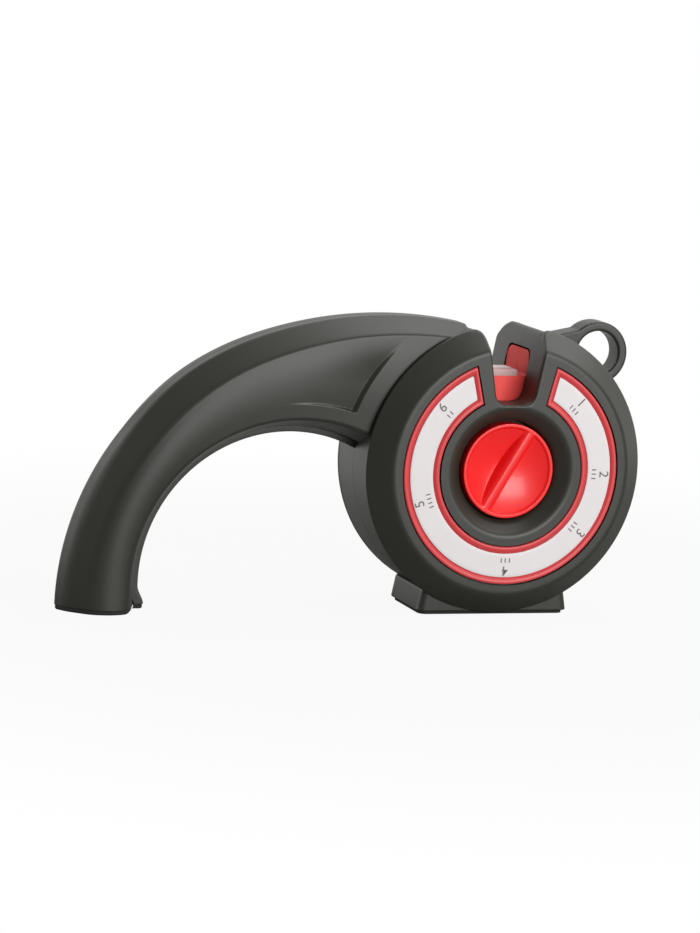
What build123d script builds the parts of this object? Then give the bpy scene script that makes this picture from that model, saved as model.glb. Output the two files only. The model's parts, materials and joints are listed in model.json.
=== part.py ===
from build123d import *
import math
import os

os.makedirs("parts", exist_ok=True)

# Driving dimensions, millimetres and degrees

# Drum: round body whose axis runs front to back
rim_radius = 53.2
ground_gap = 1.1
cone_inset = 7.8
band_inset = 1.0
band_wall = 3.6
half_depth = 25.0
cone_depth = 7.6
rim_lip = 1.2
cap_wall = 2.6
face_wall = 3.6
spigot_wall = 2.0
spigot_length = 3.0

# Dial: red tray with a pale plate, both C-shaped
tray_margin = 4.0
tray_width = 13.8
tray_depth = 1.8
tray_floor = 0.8
tray_rim = 2.5
tray_mouth_half_width = 12.2
tray_mouth_share = 0.24
tray_gap = 0.25
plate_thickness = 0.7

# Knob well and knob
dish_margin = 4.4
dish_slope = 4.9
dish_depth = 5.0
well_depth = 11.0
well_wall = 1.8
knob_gap = 0.9
knob_sink = 2.8
knob_floor_gap = 0.4
knob_lip = 1.3
knob_bar_half_width = 3.4
knob_bar_angle = 30.0
scoop_depth = 5.2
scoop_outer_depth = 0.7
knob_edge_round = 0.8

# Knife slot: tapered U through the whole depth
slot_dish_gap = 1.2
slot_floor_half_width = 7.0
slot_face_half_width = 10.7
slot_floor_round = 5.4
slot_wall = 2.0
slot_corner_round = 4.0

# Turret: wheel of six stations that crosses the slot
turret_rim_gap = 4.6
turret_end_gap = 0.25
turret_web = 3.0
turret_ring_wall = 4.3
turret_hub_radius = 9.0
turret_side_gap = 1.0
turret_top_gap = 1.2
station_count = 6
notch_half_width = 9.3
notch_depth = 10.6
lobe_round = 1.6
hone_gap = 0.05
hone_thickness = 4.6
hone_inset = 1.6
hone_low = 1.2
hone_high = 9.6
scissor_bar_half_width = 5.9
scissor_bar_height = 3.2
scissor_bar_depth = 13.0
scissor_bar_inset = 0.2
scissor_bar_seat = 0.8
turret_screw_count = 3
turret_boss_radius = 3.8
turret_boss_gap = 4.2

# Axle, bushes and click parts
axle_radius = 4.0
axle_flat = 3.2
fit_gap = 0.05
bush_wall = 2.4
bush_flange = 4.0
bush_flange_thickness = 0.9
rear_floor_depth = 6.0
rear_floor_wall = 2.0
index_radius = 16.0
index_thickness = 3.0
index_notch_radius = 2.6
index_notch_lift = 0.6
spacer_wall = 2.6
washer_radius = 7.5
washer_thickness = 1.0
washer_gap = 0.15
spring_strip = 0.5
spring_width = 2.4
spring_drop = 3.0
spring_top_half_width = 0.6
spring_ramp_half_width = 4.0
spring_tip_gap = 0.6
spring_half_length = 15.0
post_half_width = 2.0
post_height = 4.6

# Fasteners
screw_head_radius = 3.0
screw_head_height = 2.2
screw_shank_radius = 1.5
screw_pocket_gap = 0.4
screw_boss_radius = 4.2
case_screw_sink = 6.0
axle_screw_depth = 9.0

# Arched handle: the grip's arc drives the back and the crown
grip_radius = 54.7
grip_overlap = 30.15
grip_lift = 1.65
grip_end_angle = 60.0
grip_step = 2.5
foot_length = 30.55
back_growth = 48.8
back_drop = 8.25
shoulder_angle = 110.0
crown_growth = 50.0
crown_end_angle = 79.7
toe_flare = 2.4
toe_height = 7.0
root_inset = 0.2
foot_taper = 3.0
crown_depth_share = 0.5
heel_bevel = 7.0
back_bevel = 8.2
shoulder_bevel = 7.0
crown_bevel = 5.8
root_bevel = 4.8
grip_bevel = 3.8
handle_wall = 3.2
handle_screw_shares = (0.14, 0.46, 0.84)
foot_pad_thickness = 1.5
foot_pad_inset = 0.8

# Scooped panel on the handle's side next to the drum, deepest in its lower corner
panel_flange = 7.0
panel_ledge = 8.0
panel_depth = 1.9
panel_run = 16.0
panel_fade_angle = 117.7
panel_corner_angle = 161.2

# Foot block under the drum
base_half_width = 29.5
base_top_half_width = 28.0
base_top = 9.6
base_pad_thickness = 1.2
base_pad_inset = 1.2
base_round = 3.0
base_screw_reach = 23.0
base_screw_height = 5.4

# Hanging loop: an arch that stands on the band
loop_standoff = 5.1
loop_angle = 46.4
loop_radius = 11.7
loop_hole_radius = 8.2
loop_half_depth = 5.0
loop_round = 0.9
loop_root_angle = 9.0
loop_web_angle = 20.0
loop_web_top_angle = 133.0
loop_tongue_half_width = 1.2
loop_tongue_half_depth = 2.5
loop_tongue_length = 2.0
loop_tongue_root = 0.8
seat_gap = 0.1

# Cuts run past the surface by this much
overrun = 2.0

# Worked-out sizes

axis_height = rim_radius + ground_gap
face_radius = rim_radius - cone_inset
band_radius = rim_radius - band_inset
chamber_radius = band_radius - band_wall
tray_outer_radius = face_radius - tray_margin
tray_inner_radius = tray_outer_radius - tray_width
dish_radius = tray_inner_radius - dish_margin
well_radius = dish_radius - dish_slope
knob_radius = well_radius - knob_gap
slot_floor = dish_radius + slot_dish_gap
rim_front = half_depth - cone_depth
cap_seat = rim_front - rim_lip
slot_slope = (slot_face_half_width - slot_floor_half_width) / (face_radius - slot_floor)
slot_top = rim_radius + loop_radius
slot_top_half_width = slot_floor_half_width + slot_slope * (slot_top - slot_floor)
bush_radius = axle_radius + fit_gap + bush_wall
bush_seat_radius = bush_radius + fit_gap
well_floor = half_depth - well_depth
well_back = well_floor - well_wall
rear_floor = half_depth - rear_floor_depth
rear_back = rear_floor - rear_floor_wall
knob_front = half_depth - knob_sink
knob_back = well_floor + knob_floor_gap
turret_radius = chamber_radius - turret_rim_gap
turret_half_width = well_back - fit_gap - bush_flange_thickness - turret_end_gap
turret_space_radius = turret_radius + turret_top_gap
turret_space_half_width = turret_half_width + turret_side_gap
notch_floor = turret_radius - notch_depth
turret_ring_inner_radius = notch_floor - turret_ring_wall
turret_screw_radius = turret_ring_inner_radius - turret_boss_radius - turret_boss_gap
station_step = 360.0 / station_count
root_half_depth = cap_seat - root_inset
foot_half_depth = root_half_depth - foot_taper
crown_half_depth = root_half_depth * crown_depth_share
case_screw_head = foot_half_depth - case_screw_sink
case_screw_length = 2 * case_screw_head
ankle_height = foot_pad_thickness + toe_height
grip_centre_reach = band_radius - grip_overlap + grip_radius
grip_centre_height = ankle_height + grip_lift
heel_reach = grip_centre_reach + grip_radius + foot_length
back_radius = grip_radius + back_growth
back_centre_reach = heel_reach - back_radius
crown_radius = back_radius + crown_growth
side_slope = foot_taper / heel_reach
loop_distance = band_radius + loop_standoff

drum_plane = Plane(origin=(0, 0, axis_height), x_dir=(1, 0, 0), z_dir=(0, -1, 0))
front_section = Plane(origin=(0, 0, axis_height), x_dir=(1, 0, 0), z_dir=(0, 0, -1))
rear_section = Plane(origin=(0, 0, axis_height), x_dir=(1, 0, 0), z_dir=(0, 0, 1))
side_plane = Plane.XZ
drum_axis = Axis((0, 0, axis_height), (0, 1, 0))


# Shared outlines


def station_plane(angle):
    """Plane of the drum turned so that its own Y runs out along a station, clockwise from the top."""
    turn = math.radians(angle)
    return Plane(
        origin=(0, 0, axis_height),
        x_dir=(math.cos(turn), 0, -math.sin(turn)),
        z_dir=(0, -1, 0),
    )


def slot_outline(growth):
    """Tapered U of the knife slot, grown outwards by a wall, open past the rim."""
    with BuildSketch() as outline:
        with BuildLine():
            Polyline(
                (-slot_floor_half_width, slot_floor),
                (slot_floor_half_width, slot_floor),
                (slot_top_half_width, slot_top),
                (-slot_top_half_width, slot_top),
                close=True,
            )
        make_face()
        fillet(outline.vertices().group_by(Axis.Y)[0], slot_floor_round)
        if growth > 0:
            offset(amount=growth)
    return outline.sketch


def notched_disc(radius):
    """Round silhouette of the drum with the slot cut into it and the slot's two corners rounded."""
    with BuildSketch() as disc:
        Circle(radius)
        with BuildLine():
            Polyline(
                (-slot_floor_half_width, slot_floor),
                (slot_floor_half_width, slot_floor),
                (slot_top_half_width, slot_top),
                (-slot_top_half_width, slot_top),
                close=True,
            )
        make_face(mode=Mode.SUBTRACT)
        fillet(disc.vertices().group_by(Axis.Y)[-1], slot_corner_round)
        fillet(disc.vertices().filter_by_position(Axis.Y, 0, slot_floor + slot_wall), slot_floor_round)
    return disc.sketch


def dial_outline(inner, outer, mouth):
    """C-shaped ring whose open ends follow the slot's taper."""
    mouth_top = mouth + tray_mouth_share * (outer - inner)
    with BuildSketch() as dial:
        Circle(outer)
        Circle(inner, mode=Mode.SUBTRACT)
        with BuildLine():
            Polyline(
                (0, 0),
                (mouth, inner),
                (mouth_top, outer + overrun),
                (-mouth_top, outer + overrun),
                (-mouth, inner),
                close=True,
            )
        make_face(mode=Mode.SUBTRACT)
    return dial.sketch


def d_outline(radius, flat):
    """Round with one flat, for the axle and the bores that turn with it."""
    with BuildSketch() as outline:
        Circle(radius)
        with Locations((0, flat + radius)):
            Rectangle(2 * radius, 2 * radius, mode=Mode.SUBTRACT)
    return outline.sketch


def ring_part(plane, inner, outer, low, high):
    """Plain turned ring between two depths."""
    with BuildPart() as ring:
        with BuildSketch(plane):
            with BuildLine():
                Polyline((inner, low), (outer, low), (outer, high), (inner, high), close=True)
            make_face()
        revolve(axis=drum_axis)
    return ring.part


def screw_set(plane, places, length):
    """Pan screws with their heads' undersides on a plane and their shanks along its normal."""
    with BuildPart() as screws:
        with BuildSketch(plane):
            with Locations(*places):
                Circle(screw_head_radius)
        extrude(amount=-screw_head_height)
        with BuildSketch(plane):
            with Locations(*places):
                Circle(screw_shank_radius)
        extrude(amount=length)
    return screws.part


def save(part, name):
    """Label a finished piece and write it."""
    part.label = name
    export_step(part, f"parts/{name}.step")


# Handle outline

back_centre = Vector(-back_centre_reach, grip_centre_height - back_drop)
shoulder = back_centre + Vector(back_radius, 0).rotate(Axis.Z, shoulder_angle)
crown_centre = shoulder - Vector(crown_radius, 0).rotate(Axis.Z, shoulder_angle)
grip_centre = Vector(-grip_centre_reach, grip_centre_height)


def around(centre, radius, angle):
    """Point on a circle, in the plane of the handle's side."""
    return centre + Vector(radius, 0).rotate(Axis.Z, angle)


def handle_face(plane, bevel_share, wall, inner_radius, flare):
    """Side of the arched handle, its back drawn in by a share of the bevel and by a wall."""
    floor = foot_pad_thickness + wall
    heel_radius = back_radius - heel_bevel * bevel_share - wall
    heel_drop = back_centre.Y - floor
    heel = Vector(-back_centre_reach - math.sqrt(heel_radius**2 - heel_drop**2), floor)
    back_middle_angle = (180.0 + shoulder_angle) / 2
    back_middle = around(back_centre, back_radius - back_bevel * bevel_share - wall, back_middle_angle)
    shoulder_in = around(back_centre, back_radius - shoulder_bevel * bevel_share - wall, shoulder_angle)
    crown_middle_angle = (shoulder_angle + crown_end_angle) / 2
    crown_middle = around(crown_centre, crown_radius - crown_bevel * bevel_share - wall, crown_middle_angle)
    root = around(crown_centre, crown_radius - root_bevel * bevel_share - wall, crown_end_angle)
    inner = inner_radius + grip_bevel * bevel_share + wall
    grip_end = around(grip_centre, inner, grip_end_angle)
    grip_middle = around(grip_centre, inner, (180.0 + grip_end_angle) / 2)
    instep = around(grip_centre, inner, 180.0)
    toe = Vector(instep.X + flare, floor)
    ankle = Vector(instep.X, ankle_height)
    with BuildSketch(plane) as side:
        with BuildLine():
            ThreePointArc(heel, back_middle, shoulder_in)
            ThreePointArc(shoulder_in, crown_middle, root)
            Polyline(root, (root.X, axis_height), grip_end)
            ThreePointArc(grip_end, grip_middle, instep)
            Polyline(instep, ankle, toe, heel)
        make_face()
    return side.sketch


def side_face_plane(inwards):
    """Plane of the handle's outer side, closer to the mid plane at the foot than at the drum."""
    depth = root_half_depth - inwards
    return Plane(origin=(0, -depth, 0), x_dir=(1, -side_slope, 0), z_dir=(-side_slope, -1, 0))


def handle_screw_places():
    """Three places along the middle of the arch, as shares of the way from the foot to the drum."""
    middle_radius = (back_radius + grip_radius) / 2
    middle = Vector((back_centre.X + grip_centre.X) / 2, (back_centre.Y + grip_centre.Y) / 2)
    points = [around(middle, middle_radius, 180.0 - share * shoulder_angle) for share in handle_screw_shares]
    return [(point.X, point.Y) for point in points]


case_screw_places = [
    *handle_screw_places(),
    (-base_screw_reach, base_screw_height),
    (base_screw_reach, base_screw_height),
]


# Body halves


def body_half(inner_radius, flare):
    """Front half of the body: drum band, slot walls, foot block and half of the hollow handle."""
    with BuildPart() as half:
        extrude(handle_face(side_plane, 0, 0, inner_radius, flare), amount=crown_half_depth)
        near = handle_face(side_plane.offset(crown_half_depth), 0, 0, inner_radius, flare)
        far = handle_face(side_face_plane(0), 1, 0, inner_radius, flare)
        loft([near.face(), far.face()], ruled=True)
        hollow = handle_face(side_face_plane(handle_wall), 1, handle_wall, inner_radius, 0)
        extrude(hollow, amount=-2 * root_half_depth, mode=Mode.SUBTRACT)
        for place in handle_screw_places():
            with BuildSketch(side_plane):
                with Locations(place):
                    Circle(screw_boss_radius)
            extrude(amount=root_half_depth + side_slope * place[0] - handle_wall / 2)
        add(foot_block())
        with BuildSketch(drum_plane):
            Circle(band_radius)
        extrude(amount=cap_seat)
        with BuildSketch(drum_plane):
            Circle(chamber_radius)
        extrude(amount=half_depth, mode=Mode.SUBTRACT)
        with BuildSketch(drum_plane):
            add(slot_outline(slot_wall))
            Circle(chamber_radius + band_wall / 2, mode=Mode.INTERSECT)
        extrude(amount=cap_seat)
        with BuildSketch(drum_plane):
            Circle(turret_space_radius)
        extrude(amount=turret_space_half_width, mode=Mode.SUBTRACT)
        with BuildSketch(drum_plane):
            add(slot_outline(0))
        extrude(amount=half_depth, mode=Mode.SUBTRACT)
        add(panel_scoop(), mode=Mode.SUBTRACT)
    return half.part


def foot_block():
    """Front half of the block under the drum, with rounded front corners."""
    with BuildPart() as block:
        with BuildSketch(side_plane):
            with BuildLine():
                Polyline(
                    (-base_half_width, base_pad_thickness),
                    (base_half_width, base_pad_thickness),
                    (base_top_half_width, base_top),
                    (-base_top_half_width, base_top),
                    close=True,
                )
            make_face()
        extrude(amount=root_half_depth)
        front = block.faces().sort_by(Axis.Y)[0]
        fillet(front.edges().sort_by(Axis.X)[0], base_round)
        front = block.faces().sort_by(Axis.Y)[0]
        fillet(front.edges().sort_by(Axis.X)[-1], base_round)
    return block.part


def panel_scoop():
    """Cut beside the drum, between the flange and the ledge over the grip, that fades out upwards."""
    flange_radius = rim_radius + panel_flange
    corner = around(Vector(0, axis_height), flange_radius, panel_corner_angle)
    fade = Vector(1, 0).rotate(Axis.Z, panel_fade_angle) * (panel_depth / panel_run)
    corner_depth = root_half_depth + side_slope * corner.X - panel_depth
    tilt = side_slope + fade.X
    floor_plane = Plane(
        origin=(corner.X, -corner_depth, corner.Y),
        x_dir=(1, -tilt, 0),
        z_dir=(-tilt, -1, -fade.Y),
    )
    with BuildPart() as scoop:
        with BuildSketch(side_plane):
            with Locations((corner.X - back_growth, axis_height + back_growth)):
                Rectangle(2 * back_growth + 2 * panel_flange + 2 * rim_radius, 2 * back_growth)
            with Locations((grip_centre.X, grip_centre.Y)):
                Circle(grip_radius + grip_bevel + panel_ledge, mode=Mode.SUBTRACT)
            with Locations((0, axis_height)):
                Circle(flange_radius, mode=Mode.SUBTRACT)
        extrude(amount=half_depth)
        with BuildSketch(floor_plane):
            Rectangle(2 * back_radius, 2 * back_radius)
        extrude(amount=half_depth, mode=Mode.INTERSECT)
    return scoop.part.solids().sort_by(Axis.X)[0]


def tongue_outlines(gap):
    """Two tongues that set the feet of the hanging loop into the band."""
    middle = band_radius + (loop_tongue_root - loop_tongue_length) / 2
    length = loop_tongue_length + loop_tongue_root + 2 * gap
    with BuildSketch() as tongues:
        for foot_angle in (loop_angle - loop_root_angle, loop_angle + loop_root_angle):
            with PolarLocations(middle, 1, start_angle=foot_angle):
                Rectangle(length, 2 * (loop_tongue_half_width + gap))
    return tongues.sketch


with BuildPart() as front_shell:
    add(body_half(grip_radius + grip_step, 0))
    with BuildSketch(drum_plane):
        add(tongue_outlines(seat_gap))
    extrude(amount=loop_tongue_half_depth + seat_gap, mode=Mode.SUBTRACT)
    with BuildSketch(side_plane):
        with Locations(*case_screw_places):
            Circle(screw_shank_radius + fit_gap)
    extrude(amount=case_screw_length - case_screw_head + overrun, mode=Mode.SUBTRACT)
save(front_shell.part, "front_shell")

with BuildPart() as rear_shell:
    add(mirror(body_half(grip_radius, toe_flare), about=Plane.XZ, mode=Mode.PRIVATE))
    with BuildSketch(drum_plane):
        add(tongue_outlines(seat_gap))
    extrude(amount=-loop_tongue_half_depth - seat_gap, mode=Mode.SUBTRACT)
    with BuildSketch(side_plane):
        with Locations(*case_screw_places):
            Circle(screw_shank_radius + fit_gap)
    extrude(amount=-case_screw_head, mode=Mode.SUBTRACT)
    with BuildSketch(side_plane.offset(-case_screw_head)):
        with Locations(*case_screw_places):
            Circle(screw_head_radius + screw_pocket_gap)
    extrude(amount=-half_depth, mode=Mode.SUBTRACT)
save(rear_shell.part, "rear_shell")

case_screws = screw_set(side_plane.offset(-case_screw_head), case_screw_places, case_screw_length)
save(case_screws, "case_screws")


# Caps


def cap_body(section, facing, floor, floor_back):
    """Bevelled cover: turned shell, slot lips and spigot; facing is the plane that looks outwards."""
    cone_back = face_radius - cap_wall
    well_outer = well_radius + well_wall
    face_back = half_depth - face_wall
    with BuildPart() as cap:
        with BuildSketch(section):
            with BuildLine():
                Polyline(
                    (bush_seat_radius, floor_back),
                    (well_outer, floor_back),
                    (well_outer, face_back),
                    (cone_back, face_back),
                    (rim_radius - cap_wall, cap_seat),
                    (rim_radius, cap_seat),
                    (rim_radius, rim_front),
                    (face_radius, half_depth),
                    (dish_radius, half_depth),
                    (well_radius, half_depth - dish_depth),
                    (well_radius, floor),
                    (bush_seat_radius, floor),
                    close=True,
                )
            make_face()
        revolve(axis=drum_axis)
        with BuildSketch(facing.offset(cap_seat - spigot_length)):
            Circle(chamber_radius - seat_gap)
            Circle(chamber_radius - seat_gap - spigot_wall, mode=Mode.SUBTRACT)
            add(slot_outline(slot_wall + seat_gap), mode=Mode.SUBTRACT)
        extrude(amount=spigot_length + cap_wall)
        with BuildSketch(facing.offset(cap_seat)):
            add(slot_outline(slot_wall))
            Circle(face_radius, mode=Mode.INTERSECT)
        extrude(amount=half_depth - cap_seat)
        with BuildSketch(facing.offset(cap_seat)):
            add(slot_outline(slot_wall))
            Circle(rim_radius - cap_wall, mode=Mode.INTERSECT)
        extrude(amount=cap_wall)
        with BuildSketch(facing):
            add(notched_disc(rim_radius))
        extrude(amount=half_depth + overrun, mode=Mode.INTERSECT)
    return cap.part


with BuildPart() as front_cap:
    add(cap_body(front_section, drum_plane, well_floor, well_back))
    with BuildSketch(drum_plane.offset(half_depth)):
        add(dial_outline(
            tray_inner_radius - tray_gap,
            tray_outer_radius + tray_gap,
            tray_mouth_half_width - tray_gap,
        ))
    extrude(amount=-tray_depth, mode=Mode.SUBTRACT)
save(front_cap.part, "front_cap")

rear_plane = Plane(origin=(0, 0, axis_height), x_dir=(-1, 0, 0), z_dir=(0, 1, 0))
spring_seat = -index_radius - spring_drop
post_places = [(-spring_half_length, spring_seat), (spring_half_length, spring_seat)]
spring_near = turret_half_width + (index_thickness - spring_width) / 2

with BuildPart() as rear_cap:
    add(cap_body(rear_section, rear_plane, rear_floor, rear_back))
    with BuildSketch(rear_plane.offset(spring_near)):
        with Locations(*post_places):
            Rectangle(2 * post_half_width, post_height)
    extrude(amount=half_depth - face_wall / 2 - spring_near)
    with BuildSketch(rear_plane.offset(spring_near)):
        with Locations(*post_places):
            Rectangle(2 * post_half_width, spring_strip + 2 * fit_gap)
    extrude(amount=spring_width + fit_gap, mode=Mode.SUBTRACT)
save(rear_cap.part, "rear_cap")

# Dial

with BuildPart() as dial_tray:
    with BuildSketch(drum_plane.offset(half_depth)):
        add(dial_outline(tray_inner_radius, tray_outer_radius, tray_mouth_half_width))
    extrude(amount=-tray_depth)
    with BuildSketch(drum_plane.offset(half_depth)):
        add(dial_outline(
            tray_inner_radius + tray_rim,
            tray_outer_radius - tray_rim,
            tray_mouth_half_width + tray_rim,
        ))
    extrude(amount=tray_floor - tray_depth, mode=Mode.SUBTRACT)
save(dial_tray.part, "dial_tray")

plate_inset = tray_rim + fit_gap

with BuildPart() as dial_plate:
    with BuildSketch(drum_plane.offset(half_depth - tray_depth + tray_floor)):
        add(dial_outline(
            tray_inner_radius + plate_inset,
            tray_outer_radius - plate_inset,
            tray_mouth_half_width + plate_inset,
        ))
    extrude(amount=plate_thickness)
save(dial_plate.part, "dial_plate")

# Hanging loop


def band_point(angle, radius):
    """Point round the drum axis, in the drum's own plane."""
    turn = math.radians(angle)
    return (radius * math.cos(turn), radius * math.sin(turn))


def clear_of_band(edge):
    """True for an edge that lies off the band, so that it may be rounded."""
    middle = edge.position_at(1 / 2)
    return math.hypot(middle.X, middle.Z - axis_height) > band_radius + loop_round


loop_centre = band_point(loop_angle, loop_distance)

with BuildPart() as hang_loop:
    with BuildSketch(drum_plane.offset(-loop_half_depth)):
        with Locations(loop_centre):
            Circle(loop_radius)
        with BuildLine():
            Polyline(
                band_point(loop_angle, band_radius),
                band_point(loop_angle + loop_web_angle, band_radius),
                around(Vector(*loop_centre), loop_radius, loop_web_top_angle),
                loop_centre,
                close=True,
            )
        make_face()
        Circle(band_radius + seat_gap, mode=Mode.SUBTRACT)
        with Locations(loop_centre):
            Circle(loop_hole_radius, mode=Mode.SUBTRACT)
    extrude(amount=2 * loop_half_depth)
    sides = hang_loop.faces().filter_by(Axis.Y).edges()
    fillet([edge for edge in sides if clear_of_band(edge)], loop_round)
    with BuildSketch(drum_plane.offset(-loop_tongue_half_depth)):
        add(tongue_outlines(0))
    extrude(amount=2 * loop_tongue_half_depth)
save(hang_loop.part, "hang_loop")

# Rubber pads

with BuildPart() as base_pad:
    with BuildSketch():
        RectangleRounded(
            2 * (base_half_width - base_pad_inset),
            2 * (root_half_depth - base_pad_inset),
            base_round,
        )
    extrude(amount=base_pad_thickness)
save(base_pad.part, "base_pad")

foot_heel = -heel_reach + foot_pad_inset
foot_toe = -grip_centre_reach - grip_radius - grip_step - foot_pad_inset

with BuildPart() as handle_foot_pad:
    with BuildSketch():
        with BuildLine():
            Polyline(
                (foot_heel, crown_half_depth - foot_pad_inset),
                (foot_heel + heel_bevel, foot_half_depth - foot_pad_inset),
                (foot_toe, foot_half_depth - foot_pad_inset),
                (foot_toe, -foot_half_depth + foot_pad_inset),
                (foot_heel + heel_bevel, -foot_half_depth + foot_pad_inset),
                (foot_heel, -crown_half_depth + foot_pad_inset),
                close=True,
            )
        make_face()
    extrude(amount=foot_pad_thickness)
save(handle_foot_pad.part, "handle_foot_pad")

# Bushes


def bush_part(section, floor, floor_back):
    """Flanged bush in the middle of a cap."""
    with BuildPart() as bush:
        with BuildSketch(section):
            with BuildLine():
                Polyline(
                    (axle_radius + fit_gap, floor),
                    (bush_radius, floor),
                    (bush_radius, floor_back - fit_gap),
                    (bush_radius + bush_flange, floor_back - fit_gap),
                    (bush_radius + bush_flange, floor_back - fit_gap - bush_flange_thickness),
                    (axle_radius + fit_gap, floor_back - fit_gap - bush_flange_thickness),
                    close=True,
                )
            make_face()
        revolve(axis=drum_axis)
    return bush.part


save(bush_part(front_section, well_floor, well_back), "front_bush")
save(bush_part(rear_section, rear_floor, rear_back), "rear_bush")

# Click spring

spring_tip = -index_radius - index_notch_lift + index_notch_radius - spring_tip_gap

with BuildPart() as click_spring:
    with BuildSketch(rear_plane.offset(spring_near)):
        with BuildLine() as strip:
            Polyline(
                (-spring_half_length, spring_seat),
                (-spring_ramp_half_width, spring_seat),
                (-spring_top_half_width, spring_tip),
                (spring_top_half_width, spring_tip),
                (spring_ramp_half_width, spring_seat),
                (spring_half_length, spring_seat),
            )
        trace(strip.line, spring_strip)
    extrude(amount=spring_width)
save(click_spring.part, "click_spring")

# Turret halves

turret_screw_head = turret_half_width - screw_head_height - screw_pocket_gap
screw_plane = drum_plane.offset(-turret_screw_head)
turret_screw_turn = station_step / 2
scissor_bar_back = turret_half_width - scissor_bar_inset - scissor_bar_depth


def at_lobe_top(edge):
    """True for an edge on the turret's rim, at the mouth of a notch."""
    middle = edge.center()
    return math.hypot(middle.X, middle.Z - axis_height) > turret_radius - fit_gap


def scissor_bar_groove():
    """Shallow groove in the top notch's floor, open to the front, that seats the scissor bar."""
    with BuildPart() as groove:
        with BuildSketch(drum_plane.offset(scissor_bar_back - hone_gap)):
            with Locations((0, notch_floor)):
                Rectangle(2 * (scissor_bar_half_width + hone_gap), 2 * scissor_bar_seat)
        extrude(amount=2 * turret_half_width)
    return groove.part


def turret_half(section, near):
    """Half of the wheel: web, hub, ring with a notch per station and bosses for the screws."""
    with BuildPart() as half:
        with BuildSketch(section):
            with BuildLine():
                Polyline(
                    (0, 0),
                    (turret_hub_radius, 0),
                    (turret_hub_radius, turret_half_width - turret_web),
                    (turret_ring_inner_radius, turret_half_width - turret_web),
                    (turret_ring_inner_radius, 0),
                    (turret_radius, 0),
                    (turret_radius, turret_half_width),
                    (0, turret_half_width),
                    close=True,
                )
            make_face()
        revolve(axis=drum_axis)
        with BuildSketch(drum_plane):
            with PolarLocations(turret_screw_radius, turret_screw_count, start_angle=turret_screw_turn):
                Circle(turret_boss_radius)
        extrude(amount=near * (turret_half_width - turret_web / 2))
        with BuildSketch(drum_plane):
            add(d_outline(axle_radius + fit_gap, axle_flat + fit_gap))
        extrude(amount=near * (turret_half_width + overrun), mode=Mode.SUBTRACT)
        with BuildSketch(drum_plane):
            for station in range(station_count):
                with Locations(Location((0, 0, 0), (0, 0, -station * station_step))):
                    with Locations((0, (notch_floor + turret_radius + overrun) / 2)):
                        Rectangle(2 * notch_half_width, turret_radius + overrun - notch_floor)
        extrude(amount=near * (turret_half_width + overrun), mode=Mode.SUBTRACT)
        fillet([edge for edge in half.edges().filter_by(Axis.Y) if at_lobe_top(edge)], lobe_round)
        add(scissor_bar_groove(), mode=Mode.SUBTRACT)
        with BuildSketch(drum_plane):
            with PolarLocations(turret_screw_radius, turret_screw_count, start_angle=turret_screw_turn):
                Circle(screw_shank_radius + fit_gap)
        extrude(amount=near * turret_screw_head, mode=Mode.SUBTRACT)
    return half.part


save(turret_half(front_section, 1), "turret_front")

with BuildPart() as turret_rear:
    add(turret_half(rear_section, -1))
    with BuildSketch(screw_plane):
        with PolarLocations(turret_screw_radius, turret_screw_count, start_angle=turret_screw_turn):
            Circle(screw_head_radius + screw_pocket_gap)
    extrude(amount=-turret_half_width, mode=Mode.SUBTRACT)
save(turret_rear.part, "turret_rear")

turret_screw_places = [
    band_point(turret_screw_turn + step * 360.0 / turret_screw_count, turret_screw_radius)
    for step in range(turret_screw_count)
]
turret_screw_length = turret_screw_head + turret_half_width / 2
save(screw_set(screw_plane, turret_screw_places, turret_screw_length), "turret_screws")

# Hones in the stations


def hone_part(station, near, mirrored):
    """Sloping plate that fills a station's notch on one side of the mid plane."""
    half_width = notch_half_width - hone_gap
    floor = notch_floor + hone_gap
    with BuildPart() as hone:
        with BuildSketch(station_plane(station * station_step).offset(near)):
            with BuildLine():
                Polyline(
                    (-half_width * mirrored, floor),
                    (half_width * mirrored, floor),
                    (half_width * mirrored, floor + hone_low),
                    (-half_width * mirrored, floor + hone_high),
                    close=True,
                )
            make_face()
        extrude(amount=hone_thickness)
    return hone.part


station_hones = ("coarse_blade", "medium_plate", "fine_plate", "polish_plate", "ceramic_knife_plate")
for number, hone_name in enumerate(station_hones, start=1):
    near_front = turret_half_width - hone_inset - hone_thickness
    save(hone_part(number, near_front, 1), f"{hone_name}_left")
    save(hone_part(number, -near_front - hone_thickness, -1), f"{hone_name}_right")

with BuildPart() as scissor_bar:
    with BuildSketch(drum_plane.offset(scissor_bar_back)):
        with Locations((0, notch_floor - scissor_bar_seat + hone_gap + scissor_bar_height / 2)):
            Rectangle(2 * scissor_bar_half_width, scissor_bar_height)
    extrude(amount=scissor_bar_depth)
save(scissor_bar.part, "scissor_bar")

# Axle and what is threaded on it

axle_front = knob_front - scoop_depth - knob_lip
axle_rear = rear_floor + washer_gap

with BuildPart() as axle:
    with BuildSketch(drum_plane.offset(-axle_rear)):
        add(d_outline(axle_radius, axle_flat))
        Circle(screw_shank_radius + fit_gap, mode=Mode.SUBTRACT)
    extrude(amount=axle_screw_depth + overrun)
    with BuildSketch(drum_plane.offset(-axle_rear + axle_screw_depth + overrun)):
        add(d_outline(axle_radius, axle_flat))
    extrude(amount=axle_front + axle_rear - axle_screw_depth - overrun)
save(axle.part, "axle")

with BuildPart() as index_wheel:
    with BuildSketch(drum_plane.offset(-turret_half_width - fit_gap)):
        Circle(index_radius)
        with PolarLocations(index_radius + index_notch_lift, station_count, start_angle=station_step / 2):
            Circle(index_notch_radius, mode=Mode.SUBTRACT)
        add(d_outline(axle_radius + fit_gap, axle_flat + fit_gap), mode=Mode.SUBTRACT)
    extrude(amount=-index_thickness)
save(index_wheel.part, "index_wheel")

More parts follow.
